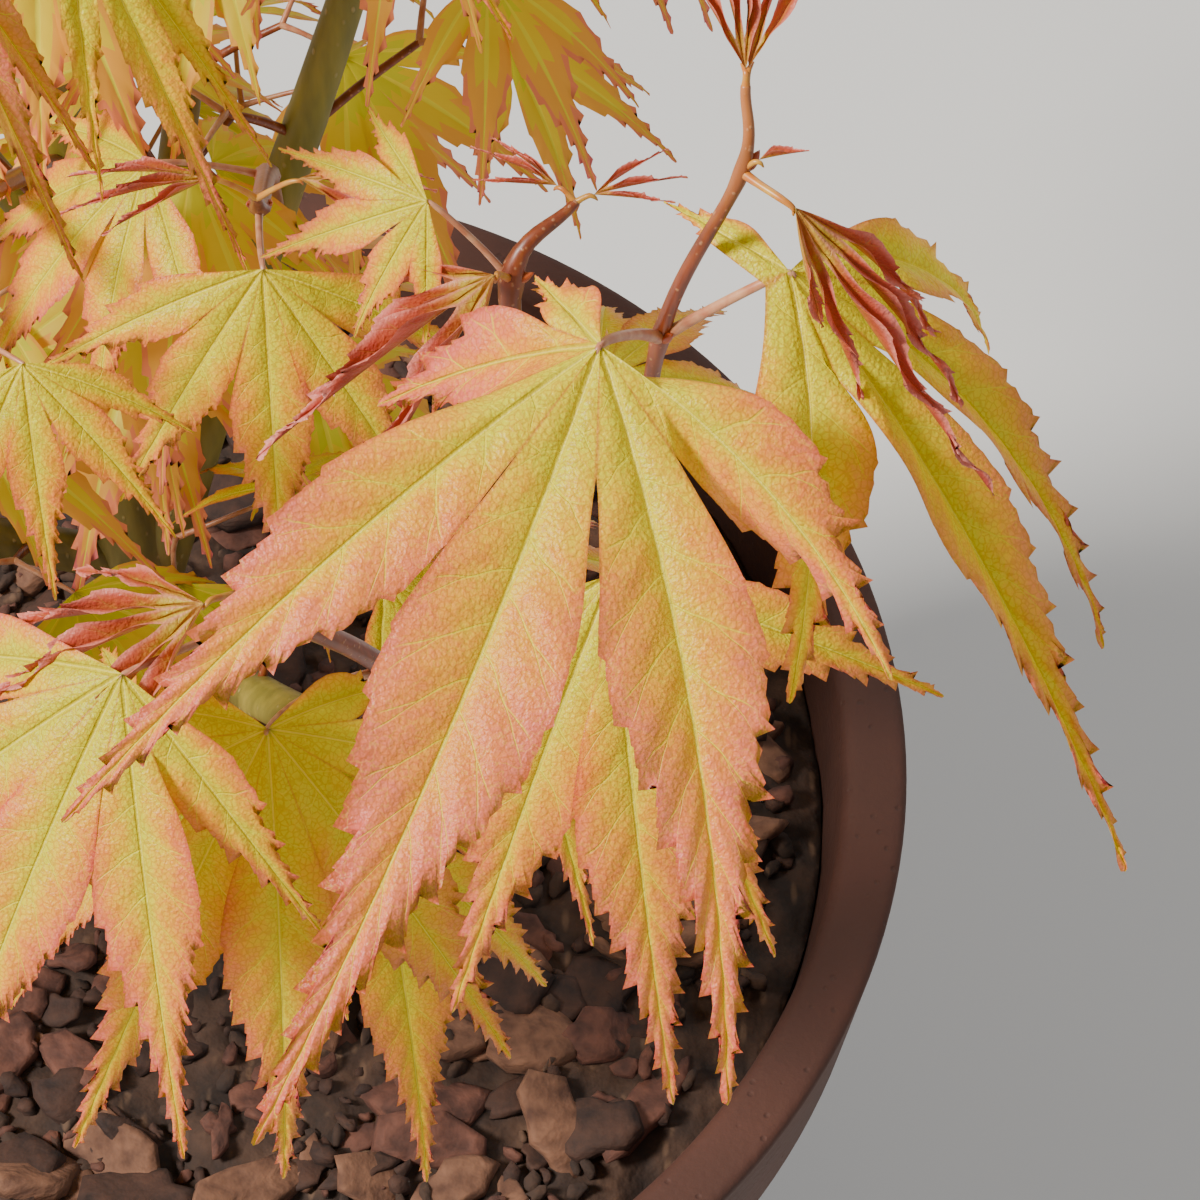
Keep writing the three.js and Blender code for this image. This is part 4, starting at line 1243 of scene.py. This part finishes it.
def limb_mesh(name, limb, seed):
    """A limb's bark: rings of the limb's radius, less a tenth of a millimetre, with the ridges laid on. The
    trunk's foot is fluted as well."""
    centre, along, radius = run_of(limb["points"], limb["radii"], BARK["steps"])
    run = np.concatenate([[0], np.cumsum(np.linalg.norm(np.diff(centre, axis=0), axis=1))])
    turn = circle(BARK["around"])
    relief = ridges(turn[None, :], run[:, None], seed)
    relief = relief * (BARK["depth"] + BARK["deeper"] * radius[:, None])
    if name == "trunk":
        foot = np.exp(-run / BARK["foot"])[:, None]
        relief = relief + foot * BARK["flute"] * np.cos(BARK["flutes"] * turn + 0.6)[None, :]
    grid = rings(centre, along, BARK_GUIDE, radius[:, None] - BARK["inset"] + relief, BARK["around"])
    sheets = Sheets()
    sheets.add(grid, wrap=True)
    sheets.fan(centre[0], grid[0], flip=True)
    sheets.fan(centre[-1], grid[-1])
    return sheets.mesh(name, [bark])


for number, (name, limb) in enumerate(LIMBS.items()):
    show(f"{name}_bark", limb_mesh(name, limb, BARK["seed"] + number), [name])

# Pot: the solid's own profile with every corner rounded

POT_SIDES = 180


def rounded(profile, radius, steps=6):
    """A profile with its inner corners cut back by the radius and joined by a curve:
    (1 - t)^2 before + 2 t (1 - t) corner + t^2 after."""
    profile = [np.array(p, float) for p in profile]
    path = [profile[0]]
    for before, corner, after in zip(profile, profile[1:], profile[2:]):
        cut_in = min(radius, 0.45 * np.linalg.norm(corner - before))
        cut_out = min(radius, 0.45 * np.linalg.norm(after - corner))
        first = corner + unit(before - corner) * cut_in
        last = corner + unit(after - corner) * cut_out
        for t in np.linspace(0, 1, steps):
            path.append((1 - t) ** 2 * first + 2 * t * (1 - t) * corner + t**2 * last)
    return np.array(path + [profile[-1]])


def pot_wall(sheets):
    """The wall's profile turned about the pot's axis, from the outside of the ring that holds the drain
    holes, up and over the rim, and back to that ring inside, with the marks of turning laid on."""
    edge = DRAIN["ring"] + DRAIN["margin"]
    outside = [
        (edge, 0),
        (POT["base"], 0),
        (POT["neck"], NECK),
        (POT["neck"] + POT["overhang"], NECK + POT["undercut"]),
        (POT["rim"], POT["height"]),
        (POT["rim"] - POT["lip"], POT["height"]),
    ]
    profile = rounded([*outside, *INSIDE[::-1], (edge, POT["floor"])], POT["round"])
    turn = circle(POT_SIDES)
    radius, height = profile[:, :1], profile[:, 1:]
    radius = radius + turning_marks(turn, height)
    grid = np.stack(np.broadcast_arrays(radius * np.cos(turn), radius * np.sin(turn), height), -1)
    sheets.add(grid, flip=True, wrap=True)


def turning_marks(turn, height):
    """Faint rings: 0.06 mm (sin 1.9 z + sin(0.83 z + turn)), from a little above the foot."""
    return 0.06 * (np.sin(1.9 * height) + np.sin(0.83 * height + turn)) * smooth(1, 8, height)


def at_height(flat, z):
    """Points of a plane as points in space at a height."""
    return np.concatenate([flat, np.full((*flat.shape[:-1], 1), z)], -1)


def drained_floor(sheets):
    """The floor inside that ring. A disc fills its middle, and each hole lies in its own sector of the ring,
    with rows that run from the hole's edge straight out to the sector's."""
    near, far = DRAIN["ring"] - DRAIN["margin"], DRAIN["ring"] + DRAIN["margin"]
    steps = POT_SIDES // DRAIN["count"]
    faces = ((0, True), (POT["floor"], False))
    for k in range(DRAIN["count"]):
        turn = 2 * math.pi * (k * steps + np.arange(steps + 1) - steps // 2) / POT_SIDES
        out = np.linspace(near, far, 9)[1:-1]
        path = [(near, a) for a in turn[::-1]] + [(r, turn[0]) for r in out]
        path += [(far, a) for a in turn] + [(r, turn[-1]) for r in out[::-1]]
        border = np.array([(r * math.cos(a), r * math.sin(a)) for r, a in path])
        middle = DRAIN["ring"] * np.array([math.cos(turn[steps // 2]), math.sin(turn[steps // 2])])
        ring = middle + (DRAIN["radius"] + DRAIN["soft"]) * unit(border - middle)
        wall = middle + DRAIN["radius"] * unit(border - middle)
        flat = ring + (border - ring) * np.linspace(0, 1, 6)[:, None, None]
        for z, flip in faces:
            sheets.add(at_height(flat, z), flip=flip, wrap=True)
        heights = [0, DRAIN["soft"], POT["floor"] - DRAIN["soft"], POT["floor"]]
        hole = [at_height(edge, z) for edge, z in zip((ring, wall, wall, ring), heights)]
        sheets.add(np.array(hole), wrap=True)
    turn = circle(POT_SIDES)
    disc = near * np.stack([np.cos(turn), np.sin(turn)], 1)
    for z, flip in faces:
        sheets.fan(np.array([0, 0, z]), at_height(disc, z), flip=flip)


pot = Sheets()
pot_wall(pot)
drained_floor(pot)
show("clay_pot", pot.mesh("clay_pot", [clay_paint()]), ["pot"])

# Compost: a low mound of crumbs with bark chips lying on it

WAVES = dict(sizes=(30, 17, 9, 5, 3, 2.2), each=3, height=0.045, longer=1.3, seed=3)
RINGS = dict(count=90, around=220, innermost=0.5, next=2)


def inside_radius(z):
    """Radius of the pot's inside between the neck and the rim."""
    return np.interp(z, [NECK, POT["height"]], [POT["neck"] - POT["wall"], POT["rim"] - POT["lip"]])


def surface_height(x, y):
    """Height of the compost: the mound's profile, and on it waves of several sizes, each turned its own
    way: 0.045 size^0.75 sin(2 pi ahead / size + a) cos(2 pi across / (1.3 size) + b)."""
    edge = inside_radius(COMPOST["level"]) - GAP
    level, mound, collar = COMPOST["level"], COMPOST["mound"], COMPOST["collar"]
    places = [0, collar, collar * 1.7, edge * 0.55, edge * 0.88, edge]
    heights = [0, 0, 0.5 * mound, mound, 0.5 * mound, -COMPOST["edge_drop"]]
    z = level + np.interp(np.hypot(x, y), places, heights)
    draw = np.random.default_rng(WAVES["seed"])
    for size in WAVES["sizes"]:
        for _ in range(WAVES["each"]):
            way, first, second = draw.uniform(0, 6.3, 3)
            ahead = x * math.cos(way) + y * math.sin(way)
            across = y * math.cos(way) - x * math.sin(way)
            wave = np.sin(2 * math.pi * ahead / size + first)
            wave = wave * np.cos(2 * math.pi * across / (size * WAVES["longer"]) + second)
            z = z + WAVES["height"] * size**0.75 * wave
    return z


def compost_mesh():
    """The surface in rings from the pot's wall to the middle, and a skirt down the wall to the floor."""
    edge = inside_radius(COMPOST["level"] - COMPOST["edge_drop"]) - GAP
    turn = circle(RINGS["around"])
    radius = np.linspace(RINGS["next"], edge, RINGS["count"])
    radius = np.append(radius[::-1], RINGS["innermost"])
    x, y = radius[:, None] * np.cos(turn), radius[:, None] * np.sin(turn)
    surface = np.stack([x, y, surface_height(x, y)], -1)
    around = np.stack([np.cos(turn), np.sin(turn)], -1)
    skirt = np.array([at_height((r - GAP) * around, z + GAP) for r, z in INSIDE])
    sheets = Sheets()
    sheets.add(np.concatenate([skirt, surface]), wrap=True)
    sheets.fan(surface[-1].mean(0), surface[-1])
    sheets.fan(skirt[0].mean(0), skirt[0], flip=True)
    return sheets.mesh("compost_bed", [compost_paint()])


show("compost_bed", compost_mesh(), ["compost"])


def rotation(axis, angle):
    """Matrix that turns points about the axis X, Y or Z, given as 0, 1 or 2."""
    first, second = (axis + 1) % 3, (axis + 2) % 3
    matrix = np.eye(3)
    matrix[first, first] = matrix[second, second] = math.cos(angle)
    matrix[first, second], matrix[second, first] = -math.sin(angle), math.sin(angle)
    return matrix


def boxy(value):
    """A sine or cosine pushed towards 1 and -1, by the power 0.4."""
    return np.sign(value) * np.abs(value) ** 0.4


def lumps(name, count, size, flatness, seed, paints, ring, rows=7, around=13):
    """Loose pieces on the compost. Each is a ball of latitude t and longitude w whose sines and cosines are
    made boxy, which makes it a slab. Its outline is bent by 1 + 0.2 sin(2w + a) + 0.12 sin(5w + b), its
    length, breadth and thickness are its own, and it is turned, tilted and half sunk."""
    draw = np.random.default_rng(seed)
    sheets = Sheets()
    tall = np.linspace(-math.pi / 2, math.pi / 2, rows)[:, None]
    wide = circle(around)[None, :]
    for _ in range(count):
        far = math.sqrt(draw.uniform(ring[0] ** 2, ring[1] ** 2))
        where = draw.uniform(0, 2 * math.pi)
        length = draw.uniform(*size)
        shape = np.array([length, length * draw.uniform(0.35, 0.8), length * draw.uniform(*flatness)]) / 2
        a, b, c = draw.uniform(0, 6.3, 3)
        plan = boxy(np.cos(tall)) * (1 + 0.2 * np.sin(2 * wide + a) + 0.12 * np.sin(5 * wide + b))
        body = np.stack(np.broadcast_arrays(plan * np.cos(wide), plan * np.sin(wide), boxy(np.sin(tall))), -1)
        body = body * shape
        body[..., 2] += 0.35 * shape[2] * np.sin(2.2 * body[..., 0] / shape[1] + c)
        spin, tilt, roll = draw.uniform(0, 2 * math.pi), draw.normal(0, 0.2), draw.normal(0, 0.2)
        turn = rotation(2, spin) @ rotation(0, tilt) @ rotation(1, roll)
        x, y = far * math.cos(where), far * math.sin(where)
        lift = float(surface_height(np.array(x), np.array(y))) + 0.5 * shape[2]
        sheets.add(body @ turn.T + [x, y, lift], slot=int(draw.integers(0, len(paints))), wrap=True)
    return sheets.mesh(name, paints)


chip_paints = [
    chip_paint("bark_chip_dark", (34, 18, 12), (66, 40, 28)),
    chip_paint("bark_chip_rosy", (56, 30, 22), (102, 62, 48)),
    chip_paint("bark_chip_pale", (72, 44, 30), (122, 84, 62)),
]
crumb_paints = [*chip_paints[:2], compost_paint()]
chips = lumps("bark_chips", 400, (5, 16), (0.1, 0.26), 11, chip_paints, (12, 77))
crumbs = lumps("compost_crumbs", 1500, (1.4, 4.2), (0.3, 0.7), 12, crumb_paints, (10, 80), 5, 8)
show("bark_chips", chips, ["compost"])
show("compost_crumbs", crumbs, ["compost"])

# Floor, light and camera

FLOOR_HALF = 3.0  # metres, as are the places of the lamps
FLOOR_COLOUR = (206.41, 204.93, 201.91)


def floor():
    """A pale plane under the pot."""
    corners = [(x * FLOOR_HALF, y * FLOOR_HALF, 0) for x, y in ((-1, -1), (1, -1), (1, 1), (-1, 1))]
    plane = bpy.data.meshes.new("floor")
    plane.from_pydata(corners, [], [(0, 1, 2, 3)])
    plane.materials.append(Paint("pale_floor").finish(FLOOR_COLOUR, roughness=0.7))
    piece = bpy.data.objects.new("floor", plane)
    bpy.context.scene.collection.objects.link(piece)


floor()


def lamp(name, place, size, power, colour=(1, 1, 1), aim=(0, 0, 0.3)):
    """A square soft light at a place, turned to a point."""
    data = bpy.data.lights.new(name, "AREA")
    data.size, data.energy, data.color = size, power, colour
    light = bpy.data.objects.new(name, data)
    back = unit(np.array(place, float) - np.array(aim, float))
    right = unit(np.cross(UP, back))
    axes = np.stack([right, np.cross(back, right), back, place], 1)
    light.matrix_world = Matrix([*axes.tolist(), (0, 0, 0, 1)])
    bpy.context.scene.collection.objects.link(light)


lamp("key_light", (-1.3, -0.5, 1.6), 0.4, 84, (1.0, 0.96, 0.9))
lamp("fill_light", (1.5, -0.9, 1.0), 1.4, 5)
lamp("back_light", (0.5, 1.5, 1.4), 1.2, 14)

world = bpy.data.worlds.new("studio")
world.use_nodes = True
world.node_tree.nodes["Background"].inputs["Color"].default_value = (0.93, 0.96, 1.0, 1)
world.node_tree.nodes["Background"].inputs["Strength"].default_value = 0.34
bpy.context.scene.world = world

# The camera looks down 55 degrees on the front shoot from a third of a metre
EYE = (56, -319.3, 649.3)
LOOK_DOWN = 55
PHOTO_WIDTH = 1200  # pixels
PIXELS_TO_MM = 14  # at the distance below
FRAME_DISTANCE = 330
SENSOR = 36
camera_data = bpy.data.cameras.new("camera")
camera_data.sensor_width = SENSOR
camera_data.lens = SENSOR * FRAME_DISTANCE / (PHOTO_WIDTH / PIXELS_TO_MM)
camera_data.clip_start = 0.02
camera_data.clip_end = 20
camera = bpy.data.objects.new("camera", camera_data)
camera.location = [value * MM for value in EYE]
camera.rotation_euler = (math.radians(90 - LOOK_DOWN), 0, 0)
bpy.context.scene.collection.objects.link(camera)
bpy.context.scene.camera = camera
